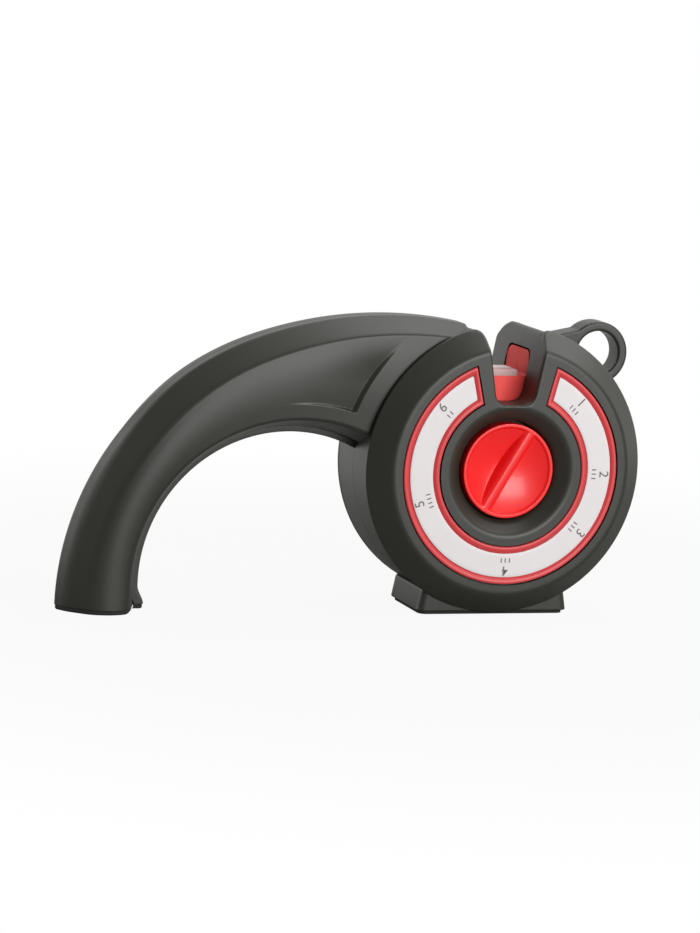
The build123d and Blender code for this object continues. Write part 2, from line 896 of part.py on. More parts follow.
spacer_near = turret_half_width + index_thickness + 2 * fit_gap
spacer_far = rear_back - bush_flange_thickness - 2 * fit_gap
spacer = ring_part(rear_section, axle_radius + fit_gap, axle_radius + spacer_wall, spacer_near, spacer_far)
save(spacer, "rear_spacer")
washer_far = axle_rear + washer_thickness
washer = ring_part(rear_section, screw_shank_radius + fit_gap, washer_radius, axle_rear, washer_far)
save(washer, "axle_washer")
save(screw_set(drum_plane.offset(-washer_far), [(0, 0)], axle_screw_depth), "axle_screw")

# Knob


def finger_scoop(side):
    """Half-moon cut beside the grip bar, deepest at the bar and rising to the rim."""
    scoop_radius = knob_radius - knob_lip
    run = scoop_radius - knob_bar_half_width
    rise = scoop_depth - scoop_outer_depth
    turn = math.radians(knob_bar_angle)
    along = Vector(math.sin(turn), 0, math.cos(turn))
    across = Vector(math.cos(turn), 0, -math.sin(turn)) * side
    outwards = Vector(0, -1, 0)
    start = Vector(0, 0, axis_height) + across * knob_bar_half_width + outwards * (knob_front - scoop_depth)
    slope = (across * run + outwards * rise).normalized()
    normal = slope.cross(along) * side
    with BuildPart() as scoop:
        with BuildSketch(Plane(origin=start, x_dir=slope, z_dir=normal)):
            with Locations((knob_radius, 0)):
                Rectangle(2 * knob_radius, 4 * knob_radius)
        extrude(amount=2 * scoop_depth)
        with BuildSketch(drum_plane):
            Circle(scoop_radius)
        extrude(amount=half_depth, mode=Mode.INTERSECT)
    return scoop.part


with BuildPart() as selector_knob:
    with BuildSketch(drum_plane.offset(knob_back)):
        Circle(knob_radius)
    extrude(amount=knob_front - knob_back)
    fillet(selector_knob.faces().sort_by(Axis.Y)[0].edges(), knob_edge_round)
    for side in (-1, 1):
        add(finger_scoop(side), mode=Mode.SUBTRACT)
    with BuildSketch(drum_plane.offset(knob_back)):
        add(d_outline(axle_radius + fit_gap, axle_flat + fit_gap))
    extrude(amount=axle_front + fit_gap - knob_back, mode=Mode.SUBTRACT)
save(selector_knob.part, "selector_knob")
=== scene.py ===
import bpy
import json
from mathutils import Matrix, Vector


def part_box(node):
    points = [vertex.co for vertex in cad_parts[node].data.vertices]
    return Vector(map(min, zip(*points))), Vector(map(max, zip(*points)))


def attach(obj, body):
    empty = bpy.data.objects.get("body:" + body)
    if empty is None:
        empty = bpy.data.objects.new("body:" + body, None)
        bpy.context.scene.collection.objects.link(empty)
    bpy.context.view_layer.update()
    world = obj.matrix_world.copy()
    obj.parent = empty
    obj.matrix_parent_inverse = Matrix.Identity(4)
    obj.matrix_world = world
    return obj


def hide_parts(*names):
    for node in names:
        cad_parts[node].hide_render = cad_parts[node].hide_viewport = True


bl_info = {
    "name": "Rotary knife sharpener",
    "version": (1, 0, 0),
    "blender": (4, 5, 0),
    "location": "View3D > Sidebar > Sharpener",
    "description": "Dresses the sharpener's frame with moulded skins, finishes and a pale stage",
    "category": "Add Mesh",
}

import json
import math

import bmesh
import bpy
import numpy as np
from bpy.props import FloatProperty, FloatVectorProperty, IntProperty, PointerProperty
from mathutils import Matrix, Vector

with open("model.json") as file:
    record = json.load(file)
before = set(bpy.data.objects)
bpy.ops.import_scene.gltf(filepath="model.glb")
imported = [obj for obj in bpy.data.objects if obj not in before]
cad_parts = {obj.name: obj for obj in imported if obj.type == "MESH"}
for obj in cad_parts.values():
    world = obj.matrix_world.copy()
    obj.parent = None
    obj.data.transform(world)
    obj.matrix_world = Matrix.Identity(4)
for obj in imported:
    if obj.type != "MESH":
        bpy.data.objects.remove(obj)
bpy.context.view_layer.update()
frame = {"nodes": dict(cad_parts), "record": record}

MM = 0.001
FULL_TURN = 2 * math.pi
TINY = 1e-12
WHITE = (1, 1, 1, 1)
# Which way each half lies from the mid plane
FRONT, REAR = -1, 1
SIDES = {"front": FRONT, "rear": REAR}
# Points closer than this are one, and edges sharper than this stay sharp
MERGE_REACH = MM / 500
SHARP_ANGLE = math.radians(38.0)

# Bevel along the handle's back, millimetres: heel, middle of the back, shoulder, middle of the crown, root
HANDLE_BEVELS = (10.0, 9.2, 7.2, 5.8, 4.8)
# Case screws: along the handle as shares of the arch, in the foot block across and up
HANDLE_SCREWS = (0.14, 0.46, 0.84)
BLOCK_SCREWS = MM * np.array([(-23.0, 5.4), (23.0, 5.4)])
# Mid plane to the seat under a head, height of a head, pocket round it and outside of the pocket's collar
SCREW_SEAT = MM * 7.0
SCREW_HEAD = MM * 2.2
POCKET_RADIUS = MM * 3.4
HANDLE_COLLAR = MM * 4.4
BLOCK_COLLAR = MM * 3.8
# Rounding of the pale bar
BAR_EDGE = MM * 1.1

# Width in which a cap drops to the tray's seat
SEAT_STEP = MM * 0.03
# Bearing of each station's number, clockwise from the top in degrees, and how many marks stand below it
STATION_MARKS = ((45, 3), (91, 3), (128, 3), (180, 3), (251, 4), (310, 2))
MARK_PITCH = MM * 1.6
MARK_SIZE = (MM * 0.45, MM * 1.7, MM * 0.04)
PRINT_LIFT = MM * 0.012

# Depths between which mirrored rays begin to see white: directions in the surround, places on the floor
SURROUND_WHITE = (-0.35, 0.25)
FLOOR_WHITE = (0.03, 0.30)
# Place and size of each lamp, metres, and the point that they look at
LAMPS = {
    "top": ((0.6, -0.05, 1.1), (1.3, 1.2)),
    "front": ((0.45, -1.55, 0.36), (1.1, 0.62)),
    "side": ((-1.1, 0.6, 0.4), (0.6, 0.8)),
}
LAMP_TARGET = (-0.04, 0.0, 0.05)

# Finish of each material slot of the record
SLOT_FINISHES = {
    "body_plastic": "body_moulding",
    "red_tray": "tray_plastic",
    "scale_plate": "scale_print_base",
    "red_knob": "knob_plastic",
    "red_turret": "turret_plastic",
    "foot_rubber": "pad_rubber",
    "screw_steel": "plated_screw",
    "axle_steel": "ground_axle",
    "bush_plastic": "natural_plastic",
    "white_ceramic": "fired_ceramic",
    "carbide": "hard_metal",
    "diamond_plate": "bonded_grit",
}


# Sizes and colours that a user would change


def length(label, millimetres, note):
    """Length property, written in millimetres and kept in metres."""
    return FloatProperty(name=label, description=note, default=millimetres * MM, unit="LENGTH", precision=5)


def turn(label, degrees, note):
    """Angle property, written in degrees and kept in radians."""
    return FloatProperty(name=label, description=note, default=math.radians(degrees), unit="ROTATION")


def share(label, value, note):
    """Plain share or strength."""
    return FloatProperty(name=label, description=note, default=value)


def power(label, watts, note):
    """Power of a lamp."""
    return FloatProperty(name=label, description=note, default=watts, unit="POWER")


def colour(label, value, note):
    """Linear colour."""
    return FloatVectorProperty(
        name=label, description=note, default=value, size=3, subtype="COLOR", min=0, max=1)


class DrumSizes(bpy.types.PropertyGroup):
    """Round body and its knife slot."""

    axis_height: length("Axis height", 54.3, "Drum axis above the table")
    rim_radius: length("Rim radius", 53.2, "Outer edge of a cap")
    face_radius: length("Face radius", 45.4, "Flat front of a cap")
    band_radius: length("Band radius", 52.2, "Body between the caps")
    half_depth: length("Half depth", 25.0, "Mid plane to the flat of a cap")
    rim_front: length("Rim front", 17.4, "Mid plane to the front of a cap's rim")
    cap_seat: length("Cap seat", 16.2, "Mid plane to where a cap sits on the body")
    dish_radius: length("Dish radius", 23.2, "Mouth of the dish round the knob")
    well_radius: length("Well radius", 18.3, "Well that the knob stands in")
    dish_depth: length("Dish depth", 5.0, "Depth of the dish")
    well_floor: length("Well floor", 14.0, "Mid plane to the floor of the front well")
    rear_floor: length("Rear floor", 19.0, "Mid plane to the floor of the rear dish")
    bush_radius: length("Bush radius", 6.5, "Hole in a floor, round the bush")
    slot_floor: length("Slot floor", 24.4, "Drum axis to the floor of the knife slot")
    slot_floor_half: length("Slot floor half width", 7.0, "Half width of the slot at its floor")
    slot_face_half: length("Slot face half width", 10.7, "Half width of the slot at the face's edge")
    slot_floor_cut: length("Slot floor rounding", 4.53, "Length taken by rounding the slot's floor")
    slot_corner_cut: length("Slot corner rounding", 4.3, "Length taken by rounding a cap's slot corner")
    slot_edge: length("Slot edge", 0.8, "Rounding along the slot's edge on a cap")
    slot_wall: length("Slot wall", 2.0, "Thickness of the slot's wall")
    window_radius: length("Window radius", 44.6, "Top of the turret's window in the slot's wall")
    window_half: length("Window half width", 11.35, "Half width of the turret's window")
    window_round: length("Window rounding", 2.9, "Rounding of the window's upper corners")
    block_half: length("Block half width", 29.5, "Foot block at the table")
    block_top_half: length("Block top half width", 28.0, "Foot block at its top")
    block_top: length("Block top", 9.6, "Top of the foot block")
    block_low: length("Block underside", 1.2, "Underside of the foot block, on its pad")
    block_depth: length("Block half depth", 16.0, "Foot block from the mid plane")


class DialSizes(bpy.types.PropertyGroup):
    """Red tray, scale plate and numbers."""

    inner: length("Inner radius", 27.6, "Inner edge of the tray")
    outer: length("Outer radius", 41.4, "Outer edge of the tray")
    depth: length("Tray depth", 1.8, "Depth of the tray's seat")
    rim: length("Tray rim", 2.5, "Width of the tray's raised rim")
    floor: length("Tray floor", 0.8, "Thickness of the tray's floor")
    mouth_half: length("Mouth half width", 12.2, "Half width of the opening at the inner edge")
    mouth_flare: share("Mouth flare", 0.24, "How fast the opening widens outwards")
    gap: length("Seat gap", 0.42, "Gap between the tray and its seat")
    plate: length("Plate thickness", 0.7, "Thickness of the scale plate")
    number_height: length("Number height", 3.6, "Height of the numbers")
    number_radius: length("Number radius", 36.4, "Drum axis to the middle of a number")
    mark_radius: length("Mark radius", 32.6, "Drum axis to the row of marks below a number")


class KnobSizes(bpy.types.PropertyGroup):
    """Selector knob."""

    radius: length("Radius", 17.4, "Outside of the knob")
    front: length("Front", 22.2, "Mid plane to the knob's front")
    back: length("Back", 14.4, "Mid plane to the knob's back")
    lip: length("Lip", 1.3, "Width of the raised lip")
    bar_foot: length("Bar foot", 3.45, "Half width of the grip bar at its foot")
    scoop: length("Scoop depth", 4.4, "Deepest part of a finger scoop")
    scoop_edge: length("Scoop edge depth", 0.6, "Depth of a scoop at the lip")
    bar_turn: turn("Bar turn", 30.0, "Lean of the grip bar to the right")


class TurretSizes(bpy.types.PropertyGroup):
    """Wheel of stations that crosses the slot."""

    radius: length("Radius", 44.0, "Tops of the lobes")
    half_width: length("Half width", 11.0, "Mid plane to a side of the wheel")
    notch_half: length("Notch half width", 9.1, "Half width of a station's notch at its floor")
    mouth_half: length("Mouth half width", 10.2, "Half width of a station's notch at the lobes' tops")
    notch_floor: length("Notch floor", 33.4, "Drum axis to a notch's floor")
    notch_edge: length("Notch edge", 0.4, "Rounding of a notch's edge on the wheel's side")
    rim_round: length("Rim rounding", 4.4, "Rounding of the lobes' tops towards the wheel's side")
    stations: IntProperty(name="Stations", description="Number of stations", default=6, min=2)


class HandleSizes(bpy.types.PropertyGroup):
    """Arched handle."""

    back_x: length("Back centre across", -58.5, "Centre of the back's arc")
    back_z: length("Back centre up", 1.9, "Centre of the back's arc")
    back_radius: length("Back radius", 103.5, "Arc of the back")
    shoulder: turn("Shoulder", 110.0, "Where the back's arc meets the crown's")
    crown_radius: length("Crown radius", 153.5, "Arc of the crown")
    crown_end: turn("Crown end", 79.7, "Where the crown reaches the slot")
    grip_x: length("Grip centre across", -76.75, "Centre of the grip's arc")
    grip_z: length("Grip centre up", 10.15, "Centre of the grip's arc")
    grip_radius: length("Grip radius", 54.7, "Arc of the grip on the rear half")
    grip_step: length("Grip step", 2.5, "How far the rear half stands proud inside the arch")
    grip_end: turn("Grip end", 60.0, "Where the grip's arc ends inside the drum")
    toe_flare: length("Toe flare", 2.4, "Flare of the rear half at the foot")
    ankle: length("Ankle", 8.5, "Where the toe's flare begins")
    foot: length("Foot", 1.5, "Underside of the handle, on its pad")
    crown_depth: length("Crown half depth", 8.0, "Half depth along the back")
    root_depth: length("Root half depth", 16.0, "Half depth at the drum")
    taper: share("Taper", 0.018519, "Loss of half depth per length towards the foot")
    side_crown: length("Side crown", 1.5, "How far the side falls away towards its creases")
    back_half: length("Back half depth", 4.9, "Half depth of the level strip along the back")
    foot_fall: length("Foot fall", 2.5, "How far that strip falls away towards its edge near the foot")
    grip_lip: length("Grip lip", 3.5, "Half depth of the front half's edge along the grip")
    grip_bevel: length("Grip bevel", 3.8, "Width of the bevel along the grip")
    panel_flange: length("Panel flange", 60.2, "Drum axis to the scooped panel's edge")
    panel_ledge: length("Panel ledge", 66.5, "Grip centre to the scooped panel's ledge")
    panel_depth: length("Panel depth", 2.0, "Deepest corner of the scooped panel")
    panel_run: length("Panel run", 27.0, "Length over which the scoop fades out")
    panel_wall: length("Panel wall", 1.7, "Width of the slope from the flange into the panel")
    panel_lip: length("Panel lip", 0.9, "Width of the slope from the ledge into the panel")
    panel_corner: turn("Panel corner", 161.2, "Bearing of the scoop's deepest corner round the drum")
    panel_turn: turn("Panel direction", 150.0, "Direction in which the scoop fades out")
    panel_top: turn("Panel top", 124.0, "Bearing round the drum at which the scoop's edge has faded out")
    panel_full: turn("Panel full", 147.0, "Bearing round the drum at which the scoop's edge is full")


class LoopSizes(bpy.types.PropertyGroup):
    """Hanging loop."""

    distance: length("Distance", 57.3, "Drum axis to the loop's centre")
    bearing: turn("Bearing", 46.4, "Direction of the loop from the drum axis")
    radius: length("Radius", 11.7, "Outside of the loop")
    hole: length("Hole radius", 8.2, "Inside of the loop")
    half_depth: length("Half depth", 5.0, "Half depth of the loop")
    web: turn("Web bearing", 66.4, "Where the web runs out on the band")
    web_top: turn("Web top", 133.0, "Where the web leaves the loop")


class Finishes(bpy.types.PropertyGroup):
    """Colours of the finishes."""

    body: colour("Body plastic", (0.024, 0.025, 0.018), "Dark warm grey moulded plastic")
    knob: colour("Knob red", (1.0, 0.008, 0.009), "Bright red of the knob")
    tray: colour("Tray red", (0.66, 0.050, 0.055), "Red of the dial tray")
    turret: colour("Turret red", (1.0, 0.070, 0.062), "Red of the turret")
    plate: colour("Scale plate", (0.76, 0.72, 0.72), "Off-white of the scale plate")
    ink: colour("Print", (0.13, 0.125, 0.125), "Grey of the numbers and marks")
    rubber: colour("Rubber", (0.013, 0.013, 0.013), "Black of the pads")
    steel: colour("Steel", (0.60, 0.60, 0.58), "Plated steel")
    # Painted shade: a darker pink for the pale bar's ends, standing for the shade on them beside the red
    # wheel.
    ceramic_end: colour("Ceramic ends", (0.54, 0.30, 0.30), "Bare ends of the pale bar")
    ceramic: colour("Ceramic", (0.94, 0.89, 0.88), "Fired ceramic")
    natural: colour("Natural plastic", (0.72, 0.70, 0.64), "Plastic of the bushes and the click wheel")
    grit: colour("Grit", (0.36, 0.36, 0.37), "Grit-coated plates and hard metal")


class StageSettings(bpy.types.PropertyGroup):
    """Camera, lamps and floor."""

    camera_place: FloatVectorProperty(
        name="Camera place", description="Where the camera stands",
        default=(-0.4913, -1.2417, 0.2536), size=3, subtype="TRANSLATION")
    azimuth: turn("Azimuth", -19.43, "Camera's bearing round the object")
    elevation: turn("Elevation", 8.70, "Camera's height above the horizon")
    roll: turn("Roll", 3.34, "Camera's roll")
    lens: FloatProperty(
        name="Lens", description="Focal length for a 36 mm long side", default=140.97, unit="CAMERA")
    floor_size: length("Floor size", 6000.0, "Side of the floor")
    floor_tone: share("Floor tone", 0.40, "Brightness of the floor")
    floor_glow: share("Floor glow", 0.93, "Share of plain white to the camera near the object")
    floor_near: length("Floor shade near", 150.0, "Distance from the axis where the floor starts to whiten")
    floor_far: length("Floor shade far", 420.0, "Distance from the axis where the floor is plain white")
    surround: share("Surround", 0.21, "Light from all round")
    top_power: power("Top lamp", 11.0, "Power of the lamp above")
    front_power: power("Front lamp", 19.5, "Power of the lamp at the front right")
    side_power: power("Side lamp", 4.5, "Power of the lamp behind the handle")


SETTINGS = {
    "sharpener_drum": DrumSizes,
    "sharpener_dial": DialSizes,
    "sharpener_knob": KnobSizes,
    "sharpener_turret": TurretSizes,
    "sharpener_handle": HandleSizes,
    "sharpener_loop": LoopSizes,
    "sharpener_finishes": Finishes,
    "sharpener_stage": StageSettings,
}


# Surfaces from grids of points


def rounded_line(corners, cuts, runs, steps=6):
    """Broken line with its inner corners rounded.

    Each inner corner is cut back along both legs by its cut, at most by just under half of the shorter leg,
    and bridged by the quadratic curve (1-t)^2 a + 2t(1-t) corner + t^2 b. Leading axes are separate lines.
    runs counts the points of each leg and steps those of each curve, or of all of them.
    """
    corners = np.asarray(corners, float)
    legs = corners[..., 1:, :] - corners[..., :-1, :]
    spans = np.linalg.norm(legs, axis=-1, keepdims=True)
    units = legs / np.maximum(spans, TINY)
    pieces = []
    start = corners[..., 0, :]
    for k in range(1, corners.shape[-2] - 1):
        count = steps if isinstance(steps, int) else steps[k - 1]
        bend = np.linspace(0, 1, count, endpoint=False)[:, None]
        room = 0.49 * np.minimum(spans[..., k - 1, :], spans[..., k, :])
        cut = np.minimum(np.asarray(cuts[k - 1])[..., None], room)
        corner = corners[..., k, :]
        near = corner - units[..., k - 1, :] * cut
        far = corner + units[..., k, :] * cut
        walk = np.linspace(0, 1, runs[k - 1], endpoint=False)[:, None]
        pieces.append(start[..., None, :] * (1 - walk) + near[..., None, :] * walk)
        pieces.append(
            near[..., None, :] * (1 - bend) ** 2
            + corner[..., None, :] * 2 * bend * (1 - bend)
            + far[..., None, :] * bend**2
        )
        start = far
    walk = np.linspace(0, 1, runs[-1] + 1)[:, None]
    pieces.append(start[..., None, :] * (1 - walk) + corners[..., None, -1, :] * walk)
    return np.concatenate(pieces, axis=-2)


def line_distance(points, line):
    """Distance of points to a broken line: the least of the distances to its legs."""
    start, run = line[:-1], np.diff(line, axis=0)
    from_start = points[..., None, :] - start
    share_along = np.clip((from_start * run).sum(-1) / np.maximum((run * run).sum(-1), TINY), 0, 1)
    return np.linalg.norm(from_start - share_along[..., None] * run, axis=-1).min(axis=-1)


def smooth_step(value, low, high):
    """0 below low, 1 above high, 3t^2 - 2t^3 between."""
    t = np.clip((value - low) / (high - low), 0, 1)
    return t * t * (3 - 2 * t)


def placed(across, forward, up, side=FRONT):
    """Points from their place across, depth from the mid plane on one side and height, in one array."""
    across, forward, up = np.broadcast_arrays(across, forward, up)
    return np.stack([across, side * forward, up], axis=-1)


def compass(angle):
    """Unit directions across and up, at angles clockwise from the top."""
    return np.stack([np.sin(angle), np.cos(angle)], axis=-1)


def ray(angle):
    """Unit directions across and up, at angles anticlockwise from the right."""
    return np.stack([np.cos(angle), np.sin(angle)], axis=-1)


def drum_points(radius, angle, forward, drum, side=FRONT):
    """Points at a radius and an angle clockwise from the top, at a depth from the mid plane on one side."""
    return placed(radius * np.sin(angle), forward, drum.axis_height + radius * np.cos(angle), side)


def outline_points(outline, forward, drum, side=FRONT):
    """Outline round the drum axis, lifted to a depth from the mid plane on one side."""
    return placed(outline[..., 0], forward, drum.axis_height + outline[..., 1], side)


def turned_points(place, radius, angle, forward):
    """Points turned round a line from front to back through a place, at a depth in the rear half."""
    across, up = place
    return placed(across + radius * np.cos(angle), forward, up + radius * np.sin(angle), REAR)


class Skin:
    """Gathers grids of points into one mesh."""

    def __init__(self):
        self.points = []
        self.quads = []
        self.count = 0

    def grid(self, points, inside, wrap=False, keep=None):
        """Joins rows x columns of points by quads that face away from the inside point or points."""
        rows, columns = points.shape[:2]
        index = np.arange(rows * columns).reshape(rows, columns)
        if wrap:
            index = np.concatenate([index, index[:, :1]], axis=1)
        quads = np.stack([index[:-1, :-1], index[:-1, 1:], index[1:, 1:], index[1:, :-1]], axis=-1)
        quads = quads.reshape(-1, 4) if keep is None else quads[keep]
        flat = points.reshape(-1, 3)
        around = np.broadcast_to(inside, points.shape).reshape(-1, 3)
        corner = flat[quads]
        normal = np.cross(corner[:, 2] - corner[:, 0], corner[:, 3] - corner[:, 1])
        if np.sum(normal * (corner.mean(axis=1) - around[quads].mean(axis=1))) < 0:
            quads = quads[:, ::-1]
        self.points.append(flat)
        self.quads.append(quads + self.count)
        self.count += len(flat)
        return self

    def build(self, name):
        """Mesh object of all grids, with shared points merged and smooth shading between sharp edges."""
        mesh = bpy.data.meshes.new(name)
        mesh.from_pydata(np.concatenate(self.points), [], np.concatenate(self.quads).tolist())
        work = bmesh.new()
        work.from_mesh(mesh)
        bmesh.ops.remove_doubles(work, verts=work.verts, dist=MERGE_REACH)
        bmesh.ops.dissolve_degenerate(work, dist=MERGE_REACH / 2, edges=work.edges)
        loose = [v for v in work.verts if not v.link_faces]
        bmesh.ops.delete(work, geom=loose, context="VERTS")
        work.to_mesh(mesh)
        work.free()
        mesh.shade_smooth()
        mesh.set_sharp_from_angle(angle=SHARP_ANGLE)
        return linked(name, mesh)


def linked(name, data):
    """New object in the scene, at the origin."""
    made = bpy.data.objects.new(name, data)
    bpy.context.scene.collection.objects.link(made)
    return made


def seat(made, body, slot, finish, *nodes):
    """Puts a finished piece on its body, with its finish, and hides the nodes that it stands for. The slot is
    not used.
    """
    made.data.materials.append(finish)
    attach(made, body)
    if nodes:
        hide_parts(*nodes)


# Finishes


class Value:
    """Wraps a socket, so that shader maths reads as plain sums."""

    def __init__(self, nodes, socket):
        self.nodes = nodes
        self.socket = socket

    def _join(self, operation, first, second):
        return self.nodes.node("ShaderNodeMath", {"operation": operation}, {0: first, 1: second})

    def larger(self, other):
        return self._join("MAXIMUM", self, other)

    def __add__(self, other):
        return self._join("ADD", self, other)

    def __radd__(self, other):
        return self._join("ADD", other, self)

    def __sub__(self, other):
        return self._join("SUBTRACT", self, other)

    def __rsub__(self, other):
        return self._join("SUBTRACT", other, self)

    def __mul__(self, other):
        return self._join("MULTIPLY", self, other)

    def __rmul__(self, other):
        return self._join("MULTIPLY", other, self)


class Nodes:
    """Node tree under construction."""

    def __init__(self, tree):
        self.tree = tree
        self.place = self.node("ShaderNodeTexCoord", output="Object")

    def node(self, kind, settings=None, inputs=None, output=0):
        """New node: its settings first, then the values or links of its sockets. Gives one output."""
        made = self.tree.nodes.new(kind)
        for key, value in (settings or {}).items():
            setattr(made, key, value)
        self.feed(made, inputs or {})
        return Value(self, made.outputs[output])

    def feed(self, node, inputs):
        """Sets or links sockets of a node."""
        for key, value in inputs.items():
            if isinstance(value, Value):
                self.tree.links.new(value.socket, node.inputs[key])
            else:
                node.inputs[key].default_value = value

    def noise(self, scale, detail=2.0, stretch=None):
        """Noise on Object coordinates, 0 to 1, finer as scale grows; stretch scales the axes."""
        place = self.place
        if stretch:
            place = self.node("ShaderNodeMapping", None, {"Vector": place, "Scale": stretch})
        return self.node("ShaderNodeTexNoise", None, {"Vector": place, "Scale": scale, "Detail": detail})

    def cells(self, scale):
        """Distance to the nearest of scattered points on Object coordinates."""
        return self.node("ShaderNodeTexVoronoi", None, {"Vector": self.place, "Scale": scale})

    def depth(self):
        """Object coordinate from front to back."""
        return self.node("ShaderNodeSeparateXYZ", None, {0: self.place}, "Y")

    def blend(self, factor, first, second):
        """Mix of two colours."""
        ends = {0: factor, 6: (*first, 1.0), 7: (*second, 1.0)}
        return self.node("ShaderNodeMix", {"data_type": "RGBA"}, ends, 2)

    def bump(self, height, depth):
        """Normal pushed by a height, of the given depth."""
        return self.node("ShaderNodeBump", None, {"Strength": 1.0, "Distance": depth, "Height": height})

    def ramp(self, value, low, high, first=0.0):
        """Smooth step between two values, from the first up to 1."""
        ends = {"Value": value, "From Min": low, "From Max": high, "To Min": first, "To Max": 1.0}
        return self.node("ShaderNodeMapRange", {"interpolation_type": "SMOOTHSTEP"}, ends)

    def background_share(self, near, far):
        """1 for rays from the camera; for mirrored and refracted ones 0 before the object, 1 behind it."""
        paths = ("Is Camera Ray", "Is Glossy Ray", "Is Transmission Ray")
        camera, glossy, clear = (self.node("ShaderNodeLightPath", output=path) for path in paths)
        return camera.larger(glossy.larger(clear) * self.ramp(self.depth(), near, far))


class Finish(Nodes):
    """Node material under construction."""

    def __init__(self, name):
        self.material = bpy.data.materials.new(name)
        self.material.use_nodes = True
        super().__init__(self.material.node_tree)
        self.shader = self.tree.nodes["Principled BSDF"]

    def done(self, **sockets):
        """Feeds the main shader, whose socket names are written with underscores."""
        self.feed(self.shader, {key.replace("_", " "): value for key, value in sockets.items()})
        return self.material


def toned(tone, amount):
    """Colour made lighter or darker by a share."""
    return tuple(min(1.0, channel * amount) for channel in tone)


def moulded_plastic(name, tone, grain, roughness, relief, specular=0.5, coat=0.0):
    """Moulded plastic: eroded grain in bump and roughness, with faint mottling of the colour."""
    finish = Finish(name)
    fine = finish.noise(grain, detail=3.0)
    broad = finish.noise(45.0)
    sockets = {
        "Base_Color": finish.blend(fine * 0.6 + broad * 0.4, toned(tone, 0.84), toned(tone, 1.16)),
        "Roughness": roughness - 0.07 + fine * 0.08 + broad * 0.06,
        "Normal": finish.bump(fine, relief),
        "Specular_IOR_Level": specular,
    }
    if coat:
        sockets.update(Coat_Weight=coat, Coat_Roughness=0.12)
    return finish.done(**sockets)


def printed_plate(name, tone):
    """Satin scale plate with a faint paper-like grain."""
    finish = Finish(name)
    fine = finish.noise(2600.0)
    broad = finish.noise(90.0)
    base = finish.blend(fine * 0.4 + broad * 0.6, toned(tone, 0.95), toned(tone, 1.04))
    return finish.done(Base_Color=base, Roughness=0.42 + fine * 0.10, Normal=finish.bump(fine, MM * 0.01))


def print_ink(name, tone):
    """Pad-printed ink, a little uneven in cover."""
    finish = Finish(name)
    cover = finish.noise(3200.0)
    base = finish.blend(cover, toned(tone, 0.8), toned(tone, 1.5))
    return finish.done(Base_Color=base, Roughness=0.5 + cover * 0.15)


def pad_rubber(name, tone):
    """Matt rubber with a pebbled skin."""
    finish = Finish(name)
    pebbles = finish.cells(1500.0)
    dust = finish.noise(220.0, detail=4.0)
    base = finish.blend(dust, toned(tone, 0.7), toned(tone, 1.8))
    return finish.done(Base_Color=base, Roughness=0.78 + dust * 0.14, Normal=finish.bump(pebbles, MM * 0.05))


def turned_steel(name, tone, along, roughness):
    """Bare or plated steel with fine tool lines across one axis and a slight tarnish."""
    finish = Finish(name)
    lines = finish.noise(900.0, stretch=along)
    tarnish = finish.noise(160.0, detail=3.0)
    base = finish.blend(tarnish, toned(tone, 0.78), toned(tone, 1.08))
    rough = roughness + lines * 0.12 + tarnish * 0.08
    return finish.done(Base_Color=base, Metallic=1.0, Roughness=rough, Normal=finish.bump(lines, MM * 0.02))


def fired_ceramic(name, tone, ends, reach):
    """Off-white ceramic with fine pores and painted pinkish shade at its ends, which lie past a reach from
    the mid plane.
    """
    finish = Finish(name)
    pores = finish.noise(2400.0, detail=4.0)
    cloud = finish.noise(140.0)
    depth = finish.depth()
    # Painted shade: past the reach from the mid plane the colour turns to the darker pink of the bar's ends.
    end_shade_share = finish.ramp(depth * depth, (reach - MM * 0.5) ** 2, reach**2)
    base = finish.blend(end_shade_share * 0.85 + (pores + cloud) * 0.07, tone, ends)
    return finish.done(Base_Color=base, Roughness=0.46 + pores * 0.16, Normal=finish.bump(pores, MM * 0.03))


def bonded_grit(name, tone):
    """Metal plate coated with fine hard grit."""
    finish = Finish(name)
    grains = finish.cells(2600.0)
    wear = finish.noise(300.0, detail=3.0)
    base = finish.blend(grains, toned(tone, 1.4), toned(tone, 0.7))
    rough = 0.42 + grains * 0.2 + wear * 0.1
    return finish.done(Base_Color=base, Metallic=0.8, Roughness=rough, Normal=finish.bump(grains, MM * 0.08))


def finish_named(name):
    """Finish by name, made on first use."""
    if name in bpy.data.materials:
        return bpy.data.materials[name]
    tones = bpy.context.scene.sharpener_finishes
    recipes = {
        moulded_plastic: {
            "body_moulding": dict(tone=tones.body, grain=5200.0, roughness=0.42, relief=MM * 0.012),
            "knob_plastic": dict(tone=tones.knob, grain=3000.0, roughness=0.34, relief=MM * 0.002, coat=0.15),
            "tray_plastic": dict(tone=tones.tray, grain=4000.0, roughness=0.38, relief=MM * 0.003),
            "turret_plastic": dict(
                tone=tones.turret, grain=4000.0, roughness=0.46, relief=MM * 0.003, specular=0.2),
            "natural_plastic": dict(tone=tones.natural, grain=1300.0, roughness=0.48, relief=MM * 0.02),
        },
        turned_steel: {
            "plated_screw": dict(tone=tones.steel, along=(1.0, 6.0, 1.0), roughness=0.26),
            "ground_axle": dict(tone=toned(tones.steel, 0.9), along=(1.0, 9.0, 1.0), roughness=0.30),
            "hard_metal": dict(tone=tones.grit, along=(4.0, 1.0, 4.0), roughness=0.34),
        },
        printed_plate: {"scale_print_base": dict(tone=tones.plate)},
        print_ink: {"number_ink": dict(tone=tones.ink)},
        pad_rubber: {"pad_rubber": dict(tone=tones.rubber)},
        fired_ceramic: {"fired_ceramic": dict(tone=tones.ceramic, ends=tones.ceramic_end, reach=MM * 6.4)},
        bonded_grit: {"bonded_grit": dict(tone=tones.grit)},
    }
    for maker, finishes in recipes.items():
        if name in finishes:
            return maker(name, **finishes[name])
    raise KeyError(name)


